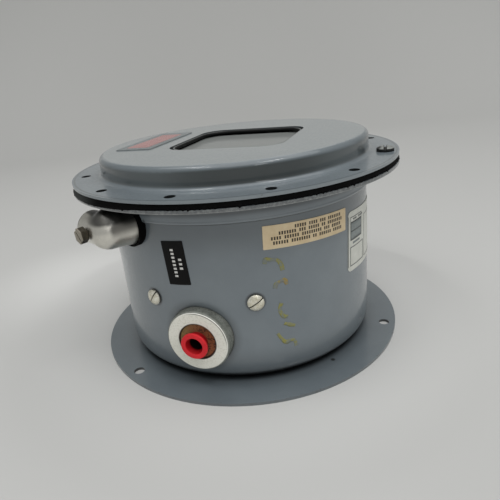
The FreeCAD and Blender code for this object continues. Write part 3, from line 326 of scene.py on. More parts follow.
# Moulded polyethylene: waxy bright red, with the dark of its hole painted in
plugMarks = [
    ("#960a10", 0.75, [("port", 4.7, 4.3)]),
    ("#050001", 1.0, [("port", 4.1, 3.75), ("Y", -portFace - 2.3, -portFace - 0.9)]),
]
redPlastic = makeFinish("moulded red polyethylene", ("#d6202a", "#c41a25"), gloss=(0.42, 0.52),
                        grainMm=0.9, grainHeight=0.02, marks=plugMarks, IOR=1.4)

# Moulded nylon and phenolic: an even colour with a fine satin skin
whitePlastic = makeFinish("moulded white nylon", ("#dcdad2", "#cfccc2"), IOR=1.53)
phenolic = makeFinish("moulded black phenolic", ("#1b1a19", "#242220"), IOR=1.6)

# Sprayed lacquer and enamel on thin sheet: even, smooth, half gloss
dialEnamel = makeFinish("white dial enamel", ("#e4e3dc", "#d9d7cd"), IOR=1.5)
blackLacquer = makeFinish("black lacquered strip", ("#131313", "#1c1c1c"), IOR=1.5)
redLacquer = makeFinish("red lacquered strip", ("#a8201f", "#94191a"), IOR=1.5)
greyLacquer = makeFinish("grey lacquered aluminium plate", ("#7c8284", "#6f7577"), gloss=(0.27, 0.38),
                         Metallic=0.2)

# Label stock: dull black vinyl, aged tan paper, and silver film that has yellowed
blackVinyl = makeFinish("black vinyl label", ("#050505", "#090808"), gloss=(0.5, 0.6), IOR=1.4,
                        Specular_IOR_Level=0.25)
tanPaper = makeFinish("aged tan paper label", ("#dcc9a7", "#d0ba95"), gloss=(0.57, 0.69), grainMm=0.5,
                      IOR=1.45)
silverFilm = makeFinish("silver film label", ("#d8d9d1", "#cbccc3"), gloss=(0.31, 0.43), Metallic=0.2)

# Printing inks: flat colours with a slight unevenness
redInk = makeFinish("red plate ink", ("#a36f6d", "#996563"), gloss=(0.15, 0.27), IOR=1.6)
darkInk = makeFinish("dark grey label ink", ("#4c5150", "#5a5f5e"), IOR=1.5)
greyInk = makeFinish("grey label ink", ("#888f8e", "#737b7a"), driftMm=1.4, IOR=1.5)
brownInk = makeFinish("brown label ink", ("#2f271d", "#4c4232"), driftMm=1.8, IOR=1.5)
whiteInk = makeFinish("white label ink", ("#e3e2de", "#d0cfcb"), IOR=1.5)
blackInk = makeFinish("black dial ink", ("#121212", "#1a1a1a"), IOR=1.5)

# Paint marker rubbed thin: olive yellow with an orange patch, and gaps that show the enamel
markerMarks = [
    ("#9a7a3a", 0.6, [((43.0, -61.5, 54.0), 7.0, 3.0)]),
    ("#6e777c", 0.8, [("speck", 0.42, 0.58)]),
]
marker = makeFinish("rubbed paint marker", ("#83834b", "#8c8746"), driftMm=7.0, marks=markerMarks,
                    speckMm=2.6, IOR=1.48)

# Window glass with a film of dust: clear from above, and grey where it is seen along its surface
glass = makeFinish("window glass with a dust film", ("#878a88", "#818482"), driftMm=30.0,
                   gloss=(0.1, 0.14), grainMm=1.5, grainHeight=0.0, clearest=(0.95, 0.1), IOR=1.3,
                   Specular_IOR_Level=0.1)

finishes = {
    enamelCase: ("case_shell",),
    enamelFlange: ("case_flange",),
    enamelPlate: ("back_plate",),
    enamelCover: ("cover",),
    rubber: ("flange_gasket", "window_gasket", "conduit_seal"),
    zinc: ("cover_screws", "port_screws", "chassis_screws", "dial_screws", "switch_screws",
           "terminal_screws", "window_studs", "window_nuts", "conduit_locknut"),
    darkSteel: ("conduit_set_screw",),
    brightSteel: ("chassis", "window_retainer", "sector_post", "sector_clip", "pointer_shaft",
                  "leaf_pins", "drive_pin", "dial_pillars"),
    plated: ("low_port_casting", "high_port_casting"),
    castMetal: ("conduit_elbow",),
    brass: ("low_bellows", "high_bellows", "bellows_yoke", "sector_lever", "pointer_pinion", "dial_hub",
            "switch_blades"),
    springBronze: ("low_leaf", "high_leaf"),
    rustyIron: ("low_port_bushing",),
    redPlastic: ("low_port_plug",),
    whitePlastic: ("low_plunger", "high_plunger"),
    phenolic: ("terminal_strip", "low_switch", "high_switch"),
    dialEnamel: ("dial_plate",),
    blackLacquer: ("pointer",),
    redLacquer: ("low_set_pointer", "high_set_pointer"),
    blackVinyl: ("port_label",),
    tanPaper: ("side_label",),
    silverFilm: ("data_label",),
    greyLacquer: ("cover_nameplate",),
    glass: ("window_glass",),
}
for material, names in finishes.items():
    for name in names:
        nodes[name].data.materials.clear()
        nodes[name].data.materials.append(material)
print("finishes on", sum(len(names) for names in finishes.values()), "nodes")


# Quads of a grid with the given rows and columns, closed on itself where asked
def gridFaces(rows, columns, closeRows=False, closeColumns=False):
    r = np.arange(rows if closeRows else rows - 1)
    c = np.arange(columns if closeColumns else columns - 1)
    rr, cc = np.meshgrid(r, c, indexing="ij")
    nextR, nextC = (rr + 1) % rows, (cc + 1) % columns
    quads = [rr * columns + cc, rr * columns + nextC, nextR * columns + nextC, nextR * columns + cc]
    return np.stack(quads, -1).reshape(-1, 4)


# Points closer together and edges shorter than these, in metres, are merged
weldGaps = {"points": 1e-7, "edges": 1e-8}


# Makes a mesh piece from points in millimetres and faces, riding on a body, with an optional value per
# point for dirt and painted shade
def makePiece(name, points, faces, material, body="case", smooth=True, closed=False,
              caps=(), dirt=None):
    mesh = bpy.data.meshes.new(name)
    flat = np.asarray(points, float).reshape(-1, 3) * mm
    mesh.from_pydata(flat.tolist(), [], np.asarray(faces, int).tolist() + [list(cap) for cap in caps])
    if dirt is not None:
        layer = mesh.attributes.new("dirt", "FLOAT", "POINT")
        layer.data.foreach_set("value", np.ravel(dirt).astype(np.float32))
    weld = bmesh.new()
    weld.from_mesh(mesh)
    bmesh.ops.remove_doubles(weld, verts=weld.verts, dist=weldGaps["points"])
    bmesh.ops.dissolve_degenerate(weld, edges=weld.edges, dist=weldGaps["edges"])
    if closed:
        bmesh.ops.recalc_face_normals(weld, faces=weld.faces)
    weld.to_mesh(mesh)
    weld.free()
    mesh.polygons.foreach_set("use_smooth", np.full(len(mesh.polygons), smooth))
    mesh.materials.append(material)
    piece = bpy.data.objects.new(name, mesh)
    bpy.context.scene.collection.objects.link(piece)
    if body:
        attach(piece, body)
    return piece


# Gives an open sheet a thickness outwards
def thicken(piece, thickMm):
    solidify = piece.modifiers.new("thickness", "SOLIDIFY")
    solidify.thickness = thickMm * mm
    solidify.offset = 1.0


# Joins grids of equal size: stacked points and faces shifted to suit
def stackGrids(grids, faces):
    count = grids.shape[1] * grids.shape[2]
    shifted = faces[None] + (np.arange(len(grids)) * count)[:, None, None]
    return grids.reshape(-1, 3), shifted.reshape(-1, 4)


# Rectangles on the case wall. Each is left, right, low, high in mm about the label's middle; a point at
# (across, up) turns by the lean, then wraps at angle asin(across / wall radius)
def wallRectangles(rectangles, angle, height, lean, lift, steps, rows=3):
    box = np.asarray(rectangles, float)
    s, t = np.meshgrid(np.linspace(0, 1, steps), np.linspace(0, 1, rows), indexing="ij")
    across = box[:, 0, None, None] + (box[:, 1] - box[:, 0])[:, None, None] * s
    up = box[:, 2, None, None] + (box[:, 3] - box[:, 2])[:, None, None] * t
    turn = math.radians(lean)
    u = across * math.cos(turn) - up * math.sin(turn)
    v = across * math.sin(turn) + up * math.cos(turn)
    theta = math.radians(angle) + np.arcsin(u / caseRadius)
    radius = caseRadius + lift
    grids = np.stack([radius * np.cos(theta), radius * np.sin(theta), height + v], -1)
    return stackGrids(grids, gridFaces(steps, rows))


# A line of plain blocks in groups, one block's room between groups, from a start along the line
def blockRow(start, groups, block, gap, low, high, upright=False):
    line = " ".join("x" * count for count in groups)
    lefts = [start + i * (block + gap) for i, mark in enumerate(line) if mark == "x"]
    if upright:
        return [(low, high, left, left + block) for left in lefts]
    return [(left, left + block, low, high) for left in lefts]


# The four sides of an empty box, as thin rectangles
def boxLines(left, right, low, high, line):
    return [(left, right, low, low + line), (left, right, high - line, high),
            (left, left + line, low, high), (right - line, right, low, high)]


# Print on the three wall labels: rows of plain blocks, grey cells and ruled boxes
printThick = 0.03
portLabel = {"angle": -96.35, "height": 69.05, "lean": 3.7, "lift": 0.33, "steps": 4}
portRows = [
    {"start": -7.3, "groups": (8,), "block": 1.1, "gap": 0.85, "low": -1.7, "high": 0.1},
    {"start": -3.3, "groups": (3,), "block": 1.2, "gap": 1.1, "low": 1.9, "high": 3.7},
]
portFields = [field for row in portRows for field in blockRow(**row, upright=True)]

sideLabel = {"angle": -44.2, "height": 79.05, "lean": -2.0, "lift": 0.33, "steps": 4}
sideBlock = {"block": 0.8, "gap": 0.49}
sideHalf = 0.82
sideRows = [  # left end, middle and groups
    (-8.4, 3.8, (5, 4, 3, 7)), (-16.4, 1.55, (7, 3, 5, 2, 8)),
    (-20.1, -0.7, (4, 6, 9, 3, 5)), (-19.2, -3.0, (6, 8, 2, 6, 5)),
]
sideFields = []
for left, middle, groups in sideRows:
    sideFields += blockRow(left, groups, low=middle - sideHalf, high=middle + sideHalf, **sideBlock)

dataLabel = {"angle": -5.8, "height": 63.1, "lean": -2.5, "lift": 0.33, "steps": 25}
dataOver = {**dataLabel, "lift": 0.37}  # the dark print lies over the grey
dataCells = [(-21.5, -7.7, 0.6, 5.9), (-21.5, -7.7, 5.9, 10.7), (-18.8, -10.3, -1.6, -0.4)]
dataBoxes = [
    (-21.5, -7.7, 0.6, 5.9, 0.7), (-21.5, -7.7, 5.2, 10.7, 0.7), (-21.5, -7.7, 10.2, 13.4, 0.35),
    (-21.5, -5.2, -13.6, -2.9, 0.45), (-3.0, 20.5, -13.6, 10.6, 0.3),
]
dataRow = {"start": -18.6, "groups": (2, 3), "block": 1.5, "gap": 0.6, "low": 11.5, "high": 12.4}
dataGrime = (-23.45, -23.0, -13.9, 13.9)  # along the label's edge
dataLines = [side for box in dataBoxes for side in boxLines(*box)] + blockRow(**dataRow) + [dataGrime]

labelPrint = {
    "portBlocks": (portFields, portLabel, whiteInk, "black_label"),
    "sideBlocks": (sideFields, sideLabel, brownInk, "tan_label"),
    "dataCells": (dataCells, dataLabel, greyInk, "silver_label"),
    "dataLines": (dataLines, dataOver, darkInk, "silver_label"),
}
for name, (fields, place, ink, slotName) in labelPrint.items():
    points, faces = wallRectangles(fields, **place)
    thicken(makePiece(name, points, faces, ink, "case"), printThick)
print("label print:", len(labelPrint), "pieces")


# A profile of (radius, height) pairs turned about an axis: a point at turn t is the axis point at its
# height plus its radius along (cos t, sin t) of the two cross directions
def turnedPiece(name, profile, origin, axis, material, body, steps=96):
    along = Vector(axis).normalized()
    first = along.orthogonal().normalized()
    second = along.cross(first)
    t = np.linspace(0, 2 * math.pi, steps, endpoint=False)
    around = np.cos(t)[:, None] * np.array(first) + np.sin(t)[:, None] * np.array(second)
    radius, height = np.asarray(profile, float).T[:, :, None, None]
    points = np.array(origin) + height * np.array(along) + radius * around
    faces = gridFaces(len(profile), steps, closeColumns=True)
    return makePiece(name, points, faces, material, body, closed=True)


# Arc of profile points about a centre, between two angles in degrees
def arcPoints(centre, radius, start, end, steps=7):
    t = np.radians(np.linspace(start, end, steps))
    return list(zip(centre[0] + radius * np.cos(t), centre[1] + radius * np.sin(t)))


# Bellows: end discs and rounded folds, radius = middle - swing * a cosine squeezed towards square
bellowsShape = {
    "root": 13.0, "crest": 19.0, "waves": 4, "wall": 58.0, "yoke": 8.0, "disc": 2.0, "square": 0.7,
    "perWave": 28, "steps": 72,
}


def makeBellows(name, side):
    shape = bellowsShape
    s = np.linspace(0, 1, shape["waves"] * shape["perWave"] + 1)
    wave = -np.cos(2 * math.pi * shape["waves"] * s)
    wave = np.sign(wave) * np.abs(wave) ** shape["square"]
    middle, swing = (shape["crest"] + shape["root"]) / 2, (shape["crest"] - shape["root"]) / 2
    span = shape["wall"] - shape["yoke"] - 2 * shape["disc"]
    height = shape["wall"] - shape["disc"] - span * s
    profile = [(0.0, shape["wall"]), (shape["root"], shape["wall"])]
    profile += list(zip(middle + swing * wave, height))
    profile += [(shape["root"], shape["yoke"]), (0.0, shape["yoke"])]
    axis = (0, side, 0)
    piece = turnedPiece(name, profile, (0, 0, portZ), axis, brass, None, shape["steps"])
    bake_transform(piece)
    return piece


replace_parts(makeBellows("lowBellows", -1), "low_bellows")
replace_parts(makeBellows("highBellows", 1), "high_bellows")
print("bellows: 2 pieces")

# Female pipe thread: a triangular ridge carried along a helix in the bore; at turn t and share s of the
# pitch the depth is start + pitch * (t / 2 pi + s), and the radius is less by a share of the tooth
threadShape = {
    "bore": 9.86, "pitch": 1.81, "tooth": 0.75, "start": 0.9, "turns": 8, "perTurn": 64, "fade": 1.5,
    "profile": [(0.0, 0.0), (0.12, 0.0), (0.5, 1.0), (0.62, 1.0), (1.0, 0.0)],  # share of pitch, of tooth
}


def makeThread():
    shape = threadShape
    t = np.linspace(0, 2 * math.pi * shape["turns"], shape["turns"] * shape["perTurn"] + 1)
    s, tooth = np.array(shape["profile"]).T
    tt, ss = np.meshgrid(t, s, indexing="ij")
    fade = np.clip(np.minimum(tt, tt.max() - tt) / shape["fade"], 0, 1)
    radius = shape["bore"] - shape["tooth"] * tooth * fade
    out = portFace - shape["start"] - shape["pitch"] * (tt / (2 * math.pi) + ss)
    points = np.stack([radius * np.cos(tt), out, portZ + radius * np.sin(tt)], -1)
    faces = gridFaces(len(t), len(s))
    makePiece("highPortThread", points, faces, plated, "case", smooth=False)


makeThread()

# Slotted head: over the disc the height falls with a power of the distance from the middle, and a slot
# runs across it; columns lie on the slot's edges so that they stay sharp. Dirt and painted shade lie in
# the slot, and as much dirt as the head says on the slot's lips and round the rim
headShape = {
    "slotDepth": 0.5, "rows": 33, "columns": 15, "sunk": 0.25,
    "lip": 1.02, "lipDirtTo": 1.01, "rimDirtFrom": 0.99,
}


def headPoints(head, turn):
    shape, radius, tall = headShape, head["radius"], head["tall"]
    half = head["slotHalf"] * radius
    lip = half * shape["lip"]
    side = np.sin(np.linspace(0, math.pi / 2, shape["columns"])[1:])
    right = np.concatenate([[half, lip], lip + (radius - lip) * side])
    x = np.concatenate([-right[::-1], right])
    y = np.sin(np.linspace(-math.pi / 2, math.pi / 2, shape["rows"]))
    xx, yy = np.meshgrid(x, y, indexing="ij")
    yy = yy * np.sqrt(np.clip(radius ** 2 - xx ** 2, 0, None))
    r = np.hypot(xx, yy) / radius
    dome = tall * (1 - (1 - head["edge"]) * r ** head["power"])
    inSlot = np.abs(xx) < (half + lip) / 2
    top = np.where(inSlot, np.minimum(dome, tall * (1 - shape["slotDepth"])), dome)
    cosT, sinT = math.cos(math.radians(turn)), math.sin(math.radians(turn))
    flat = np.stack([xx * cosT - yy * sinT, xx * sinT + yy * cosT], -1)
    upper = np.concatenate([flat, top[..., None]], -1)
    lower = np.concatenate([flat, np.full_like(top, -shape["sunk"])[..., None]], -1)
    rows, columns = xx.shape
    faces = [gridFaces(rows, columns), gridFaces(rows, columns)[:, ::-1] + rows * columns]
    for edge in (0, columns - 1):
        i = np.arange(rows - 1) * columns + edge
        wall = np.stack([i, i + columns, i + columns + rows * columns, i + rows * columns], -1)
        faces.append(wall if edge == 0 else wall[:, ::-1])
    dirt = np.where(np.abs(xx) < lip * shape["lipDirtTo"], head["lipDirt"], 0.0)
    dirt = np.where(r > shape["rimDirtFrom"], head["rimDirt"], dirt)
    dirt = np.where(inSlot, 1.0, dirt)
    dirt = np.concatenate([dirt.ravel(), np.full(dirt.size, 1.0)])
    return np.concatenate([upper.reshape(-1, 3), lower.reshape(-1, 3)]), np.concatenate(faces), dirt


# Places heads on seats given as origin, up direction, right direction, and slot turn
def makeHeads(name, head, seats, material):
    allPoints, allFaces, allDirtAndShade = [], [], []
    for origin, up, right, turn in seats:
        points, faces, dirt = headPoints(head, turn)
        up, right = np.asarray(up, float), np.asarray(right, float)
        basis = np.stack([right, np.cross(up, right), up])
        allFaces.append(faces + len(points) * len(allFaces))
        allPoints.append(np.asarray(origin) + points @ basis)
        allDirtAndShade.append(dirt)
    points, faces, dirt = (np.concatenate(part) for part in (allPoints, allFaces, allDirtAndShade))
    return makePiece(name, points, faces, material, "case", closed=True, dirt=dirt)


coverScrews = {
    "circle": 85.25, "angles": (0.0, 180.0), "slot": 3.0, "seat": 105.5,
    "radius": 4.6, "tall": 2.6, "edge": 0.6, "power": 4.0, "slotHalf": 0.13,
    "lipDirt": 1.0, "rimDirt": 0.8,
}
coverSeats = [
    ((coverScrews["circle"] * math.cos(a), coverScrews["circle"] * math.sin(a), coverScrews["seat"]),
     (0, 0, 1), (1, 0, 0), coverScrews["slot"])
    for a in np.radians(coverScrews["angles"])
]
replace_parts(makeHeads("coverScrewHeads", coverScrews, coverSeats, dullSteel), "cover_screws")
portSeats = [
    (place, (place[0] / caseRadius, place[1] / caseRadius, 0.0), (0.0, 0.0, -1.0), slotTurn + 90)
    for place, slotTurn in zip(screwPlaces, portScrews["slots"])
]
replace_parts(makeHeads("portScrewHeads", portScrews, portSeats, zinc), "port_screws")
print("thread and screw heads made")

# Flanged hollow plug with a flared mouth and rounded edges: its profile runs from the hole's floor over
# the flange to the closed end
plugShape = {
    "floor": 69.3, "end": 67.3, "hole": 3.6, "mouth": 4.5, "flare": 3.0, "face": 84.9,
    "flange": 7.1, "thick": 1.3, "neck": 5.2, "round": 0.5, "under": 0.3,
}


def makePlug():
    shape = plugShape
    face, hole, flange, neck = (shape[key] for key in ("face", "hole", "flange", "neck"))
    large, small = shape["round"], shape["under"]
    back = face - shape["thick"]
    profile = [(0.0, shape["floor"]), (hole, shape["floor"]), (hole, face - shape["flare"])]
    profile += arcPoints((shape["mouth"] + small, face - small), small, 180, 90)
    profile += arcPoints((flange - large, face - large), large, 90, 0)
    profile += arcPoints((flange - small, back + small), small, 0, -90)
    profile += [(neck, back), (neck, shape["end"]), (0.0, shape["end"])]
    return turnedPiece("plug", profile, (0, 0, portZ), (0, -1, 0), redPlastic, "case")


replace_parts(makePlug(), "low_port_plug")

# Cut gasket: a ring whose edge wavers, with crumbs that hang over the flange below it, and one stretch
# where its edge droops: the droop follows one wave of a cosine. A corner of the edge is how far out it
# stands, how much more where the edge hangs, its face (0 the lower, 1 the upper), its height from that
# face, and its share of the fall
gasketShape = {
    "inner": 78.0, "outer": 92.0, "steps": 1440, "seed": 7, "phases": 6.28,
    "slow": {"waves": (5, 60), "count": 24, "level": 12.0},
    "fine": {"waves": (60, 360), "count": 60, "level": 5.5},
    "waver": 0.14, "crumb": 0.5, "crumbFrom": 0.45, "crumbMost": 0.9, "crumbShare": 0.6,
    "droop": 0.75, "droopAt": -120.0, "droopHalf": 32.0, "droopSpread": 2.0,
    "corners": [
        (-0.15, 0.0, 1, 0.0, 0), (0.1, 0.0, 1, -0.5, 0), (0.15, 0.0, 0, 0.7, 0),
        (0.15, 0.7, 0, 0.45, 0), (0.1, 0.75, 0, 0.15, 1), (-0.25, 0.0, 0, 0.0, 0),
    ],
}


# Sum of sine waves round the ring, their counts and phases drawn at random
def raggedWave(t, rng, kind):
    counts = rng.integers(*kind["waves"], kind["count"])[:, None]
    phases = rng.uniform(0, gasketShape["phases"], (kind["count"], 1))
    return np.sin(counts * t + phases).sum(0) / kind["level"]


def makeGasket():
    shape = gasketShape
    heights = [float(corner[2]) for corner in boxMm("flange_gasket")]
    t = np.linspace(0, 2 * math.pi, shape["steps"], endpoint=False)
    rng = np.random.default_rng(shape["seed"])
    waver = raggedWave(t, rng, shape["slow"])
    crumbs = np.clip(raggedWave(t, rng, shape["fine"]) - shape["crumbFrom"], 0, shape["crumbMost"])
    crumbs *= np.clip(shape["crumbShare"] + waver, 0, 1)
    away = np.abs((np.degrees(t) - shape["droopAt"] + 180) % 360 - 180) / shape["droopHalf"]
    droop = np.where(away < 1, 0.5 + 0.5 * np.cos(math.pi * away), 0.0)
    hang = np.maximum(crumbs, np.clip(shape["droopSpread"] * droop, 0, 1))
    fall = shape["crumb"] * crumbs + shape["droop"] * droop
    edge = shape["outer"] + shape["waver"] * waver
    profile = [(np.full_like(t, shape["inner"]), np.full_like(t, height)) for height in heights]
    for out, more, face, rise, share in shape["corners"]:
        profile.append((edge + out + more * hang, heights[face] + rise - share * fall))
    points = np.stack([np.stack([r * np.cos(t), r * np.sin(t), z], -1) for r, z in profile])
    faces = gridFaces(len(profile), shape["steps"], closeRows=True, closeColumns=True)
    return makePiece("gasketRing", points, faces, rubber, "case", closed=True)


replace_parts(makeGasket(), "flange_gasket")

# Fillet of paint under the flange's collar: a cove profile carried round the can, from one side of the
# conduit seal to the other, with its two ends closed
coveShape = {
    "profile": [
        (74.9, 91.4), (76.5, 91.4), (76.83, 90.7), (76.95, 90.1), (76.9, 89.6), (76.6, 89.25),
        (75.9, 89.0), (75.3, 88.75), (74.9, 88.4),
    ],
    "seal": -117.0, "gap": 9.4, "steps": 220,
}


def makeCove():
    shape = coveShape
    start, end = shape["seal"] + shape["gap"], shape["seal"] + 360 - shape["gap"]
    t = np.radians(np.linspace(start, end, shape["steps"]))
    r, z = np.asarray(shape["profile"]).T[:, :, None]
    points = np.stack([r * np.cos(t), r * np.sin(t), z + 0 * t], -1)
    starts = np.arange(len(r)) * shape["steps"]
    caps = [starts.tolist(), (starts + shape["steps"] - 1).tolist()]
    faces = gridFaces(len(r), shape["steps"], closeRows=True)
    makePiece("collarCove", points, faces, enamelFlange, "case", closed=True, caps=caps)


makeCove()

# Cast elbow: in every direction from its corner the skin lies at a smooth maximum of the neck, the
# barrel and a swell on top. Neck and barrel are cones that leave a ball at a tangent, ball / (across *
# cos(flare) - along * sin(flare)), as far as their end planes. Rows run from the socket's floor over the
# rim to the back
elbowShape = {
    "angle": -117.0, "corner": 88.2, "height": 86.5, "ball": 8.55, "blend": 14.0, "least": 0.01,
    "neck": {"flare": 8.7, "reach": 12.0}, "barrel": {"flare": -0.55, "reach": 15.5},
    "swell": {"out": -2.5, "up": 3.0, "radius": 8.6},
    "socket": [(0.0, 3.0), (4.6, 3.0), (4.6, 5.5), (6.2, 5.5), (6.2, 15.2), (6.5, 15.5), (8.1, 15.5)],
    "rim": (8.4, 15.2), "rows": 80, "columns": 128,
}


def coneReach(way, axis, leg):
    ball, least = elbowShape["ball"], elbowShape["least"]
    flare = math.radians(leg["flare"])
    along = way @ axis
    across = np.sqrt(np.clip(1 - along ** 2, 0, None))
    side = np.maximum(across * math.cos(flare) - along * math.sin(flare), least)
    reach = np.where(along > -math.sin(flare), ball / side, ball)
    return np.minimum(reach, leg["reach"] / np.maximum(along, least))


def makeElbow():
    shape, swell = elbowShape, elbowShape["swell"]
    cosA, sinA = math.cos(math.radians(shape["angle"])), math.sin(math.radians(shape["angle"]))
    out, mouth, up = np.array([[cosA, sinA, 0], [sinA, -cosA, 0], [0, 0, 1]])
    corner = shape["corner"] * out + shape["height"] * up
    t = np.linspace(0, 2 * math.pi, shape["columns"], endpoint=False)
    around = np.cos(t)[:, None] * out + np.sin(t)[:, None] * up
    tilt = np.linspace(math.atan2(*shape["rim"]), math.pi, shape["rows"])[:, None, None]
    way = np.cos(tilt) * mouth + np.sin(tilt) * around
    middle = swell["out"] * out + swell["up"] * up
    near = way @ middle
    top = near + np.sqrt(near ** 2 - middle @ middle + swell["radius"] ** 2)
    neck, barrel = coneReach(way, -out, shape["neck"]), coneReach(way, mouth, shape["barrel"])
    skin = (np.stack([neck, barrel, top]) ** shape["blend"]).sum(0) ** (1 / shape["blend"])
    radius, depth = np.asarray(shape["socket"]).T[:, :, None, None]
    inside = depth * mouth + radius * around
    points = corner + np.concatenate([inside, skin[..., None] * way])
    faces = gridFaces(len(points), shape["columns"], closeColumns=True)
    return makePiece("castElbow", points, faces, castMetal, "case", closed=True)


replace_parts(makeElbow(), "conduit_elbow")
print("plug, gasket, collar cove and elbow made")


# Outline of a rectangle with rounded corners: four arcs of a quarter turn, one after the other
def roundedOutline(size, corner, steps=9):
    turns = np.radians(np.linspace(0, 90, steps))[None] + np.radians([[0], [90], [180], [270]])
    signs = np.array([(1, 1), (-1, 1), (-1, -1), (1, -1)])
    middles = signs * (np.asarray(size) / 2 - corner)
    arcs = middles[:, None] + corner * np.stack([np.cos(turns), np.sin(turns)], -1)
    return arcs.reshape(-1, 2)


# Flat field with rounded corners: a fan from its middle to the outline
redField = {"centre": (-49.9, -1.0), "size": (14.0, 46.0), "corner": 1.2, "thick": 0.03}


def makeRedField():
    shape = redField
    rim = roundedOutline(shape["size"], shape["corner"])
    flat = np.stack([np.zeros_like(rim), rim]) + np.asarray(shape["centre"])
    level = np.full((2, len(rim), 1), boxMm("cover_nameplate")[1][2] + shape["thick"])
    points = np.concatenate([flat, level], -1)
    faces = gridFaces(2, len(rim), closeColumns=True)
    field = makePiece("plateRedField", points, faces, redInk, "case", smooth=False)
    thicken(field, shape["thick"])


makeRedField()

# Rubber channel round the window: an ellipse carried along the opening, a little inside its edge
beadShape = {
    "centre": (4.2, 0.0), "size": (65.7, 67.9), "corner": 16.0, "inset": 0.9, "half": (0.9, 1.1),
    "height": 115.0, "steps": 14,
}


def makeBead():
    shape, size = beadShape, np.asarray(beadShape["size"])
    turns = np.linspace(0, 2 * math.pi, shape["steps"], endpoint=False)
    insets = shape["inset"] + shape["half"][0] * np.cos(turns)
    heights = shape["height"] + shape["half"][1] * np.sin(turns)
    rings = [roundedOutline(size - 2 * inset, shape["corner"] - inset) for inset in insets]
    flat = np.stack(rings) + np.asarray(shape["centre"])
    points = np.concatenate([flat, np.broadcast_to(heights[:, None, None], (*flat.shape[:2], 1))], -1)
    faces = gridFaces(*flat.shape[:2], closeRows=True, closeColumns=True)
    makePiece("windowBead", points, faces, sealRubber, "case", closed=True)


makeBead()

# Marker strokes on the wall: a flat ribbon along (angle, height) points, whose corners a running mean
# rounds off
markerShape = {
    "strokes": [
        [(-62.9, 66.5), (-62.6, 69.6), (-60.6, 68.4), (-58.4, 68.6), (-56.8, 66.0), (-56.2, 61.5)],
        [(-59.8, 53.0), (-59.3, 56.0), (-57.2, 56.6), (-55.6, 57.2), (-55.0, 53.8)],
        [(-57.6, 45.2), (-58.9, 41.5), (-57.4, 37.2), (-55.4, 36.6)],
        [(-57.4, 33.4), (-52.8, 30.6)],
        [(-60.4, 29.0), (-58.8, 24.6), (-57.0, 21.8), (-55.0, 23.4), (-53.2, 22.0), (-53.0, 18.4)],
    ],
    "halfWidth": 1.0, "waver": 0.18, "ripple": 9, "meanHalf": 4, "steps": 40, "columns": 4,
    "lift": 0.03, "thick": 0.01,
}


def makeStrokes():
    shape, half = markerShape, markerShape["meanHalf"]
    mean = np.ones(2 * half + 1) / (2 * half + 1)
    t, s = np.linspace(0, 1, shape["steps"]), np.linspace(-1, 1, shape["columns"])
    r = caseRadius + shape["lift"]
    allPoints = []
    for number, stroke in enumerate(shape["strokes"]):
        knots = np.linspace(0, 1, len(stroke))
        lines = [np.pad(np.interp(t, knots, values), half, "edge") for values in zip(*stroke)]
        angles, heights = [np.convolve(line, mean, "valid") for line in lines]
        across = np.radians(angles) * caseRadius
        way = np.stack([np.gradient(across), np.gradient(heights)], -1)
        way /= np.linalg.norm(way, axis=1, keepdims=True)
        width = shape["halfWidth"] + shape["waver"] * np.sin(shape["ripple"] * t + number)
        theta = (across[:, None] - way[:, 1, None] * width[:, None] * s) / caseRadius
        height = heights[:, None] + way[:, 0, None] * width[:, None] * s
        allPoints.append(np.stack([r * np.cos(theta), r * np.sin(theta), height], -1))
    points, faces = stackGrids(np.stack(allPoints), gridFaces(len(t), len(s)))
    strokes = makePiece("markerStrokes", points, faces[:, ::-1], marker, "case")
    thicken(strokes, shape["thick"])


makeStrokes()
print("red field, window bead and marker strokes made")

# Scale on the dial: ticks as thin bars about the pointer's pivot, and plain numbers
dialScale = {
    "pivot": (-20.0, 0.0), "sweep": 50.65, "ticks": 21, "majorEvery": 5, "inner": 39.5, "minor": 42.0,
    "major": 44.5, "minorHalf": 0.2, "majorHalf": 0.4, "lift": 0.02, "thick": 0.02,
    "values": ("0", "25", "50", "75", "100"), "numbers": 49.0, "numberLift": 0.03, "textMm": 5.0,
}
dialTop = float(boxMm("dial_plate")[1][2])


def makeTicks():
    look = dialScale
    angles = np.radians(np.linspace(look["sweep"], -look["sweep"], look["ticks"]))
    major = np.arange(look["ticks"]) % look["majorEvery"] == 0
    high = np.where(major, look["major"], look["minor"])
    half = np.where(major, look["majorHalf"], look["minorHalf"])
    way = np.stack([np.cos(angles), np.sin(angles)], -1)
    side = np.stack([-way[:, 1], way[:, 0]], -1) * half[:, None]
    grids = np.full((look["ticks"], 2, 2, 3), dialTop + look["lift"])
    for i, reach in enumerate((np.full_like(high, look["inner"]), high)):
        middle = np.array(look["pivot"]) + way * reach[:, None]
        grids[:, i, 0, :2] = middle - side
        grids[:, i, 1, :2] = middle + side
    points, faces = stackGrids(grids, gridFaces(2, 2))
    ticks = makePiece("dialTicks", points, faces, blackInk, "case", smooth=False)
    thicken(ticks, look["thick"])


def makeNumber(value, angle):
    look, name = dialScale, "dialNumber" + value
    text = bpy.data.curves.new(name, "FONT")
    text.body = value
    text.size = look["textMm"] * mm
    text.align_x = "CENTER"
    text.align_y = "CENTER"
    holder = bpy.data.objects.new(name, text)
    bpy.context.scene.collection.objects.link(holder)
    graph = bpy.context.evaluated_depsgraph_get()
    mesh = bpy.data.meshes.new_from_object(holder.evaluated_get(graph))
    bpy.data.objects.remove(holder)
    x = look["pivot"][0] + look["numbers"] * math.cos(angle)
    y = look["pivot"][1] + look["numbers"] * math.sin(angle)
    place = Vector((x, y, dialTop + look["numberLift"])) * mm
    mesh.transform(Matrix.Translation(place) @ Matrix.Rotation(-math.pi / 2, 4, "Z"))
    mesh.materials.clear()
    mesh.materials.append(blackInk)
    number = bpy.data.objects.new(name, mesh)
    bpy.context.scene.collection.objects.link(number)
    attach(number, "case")


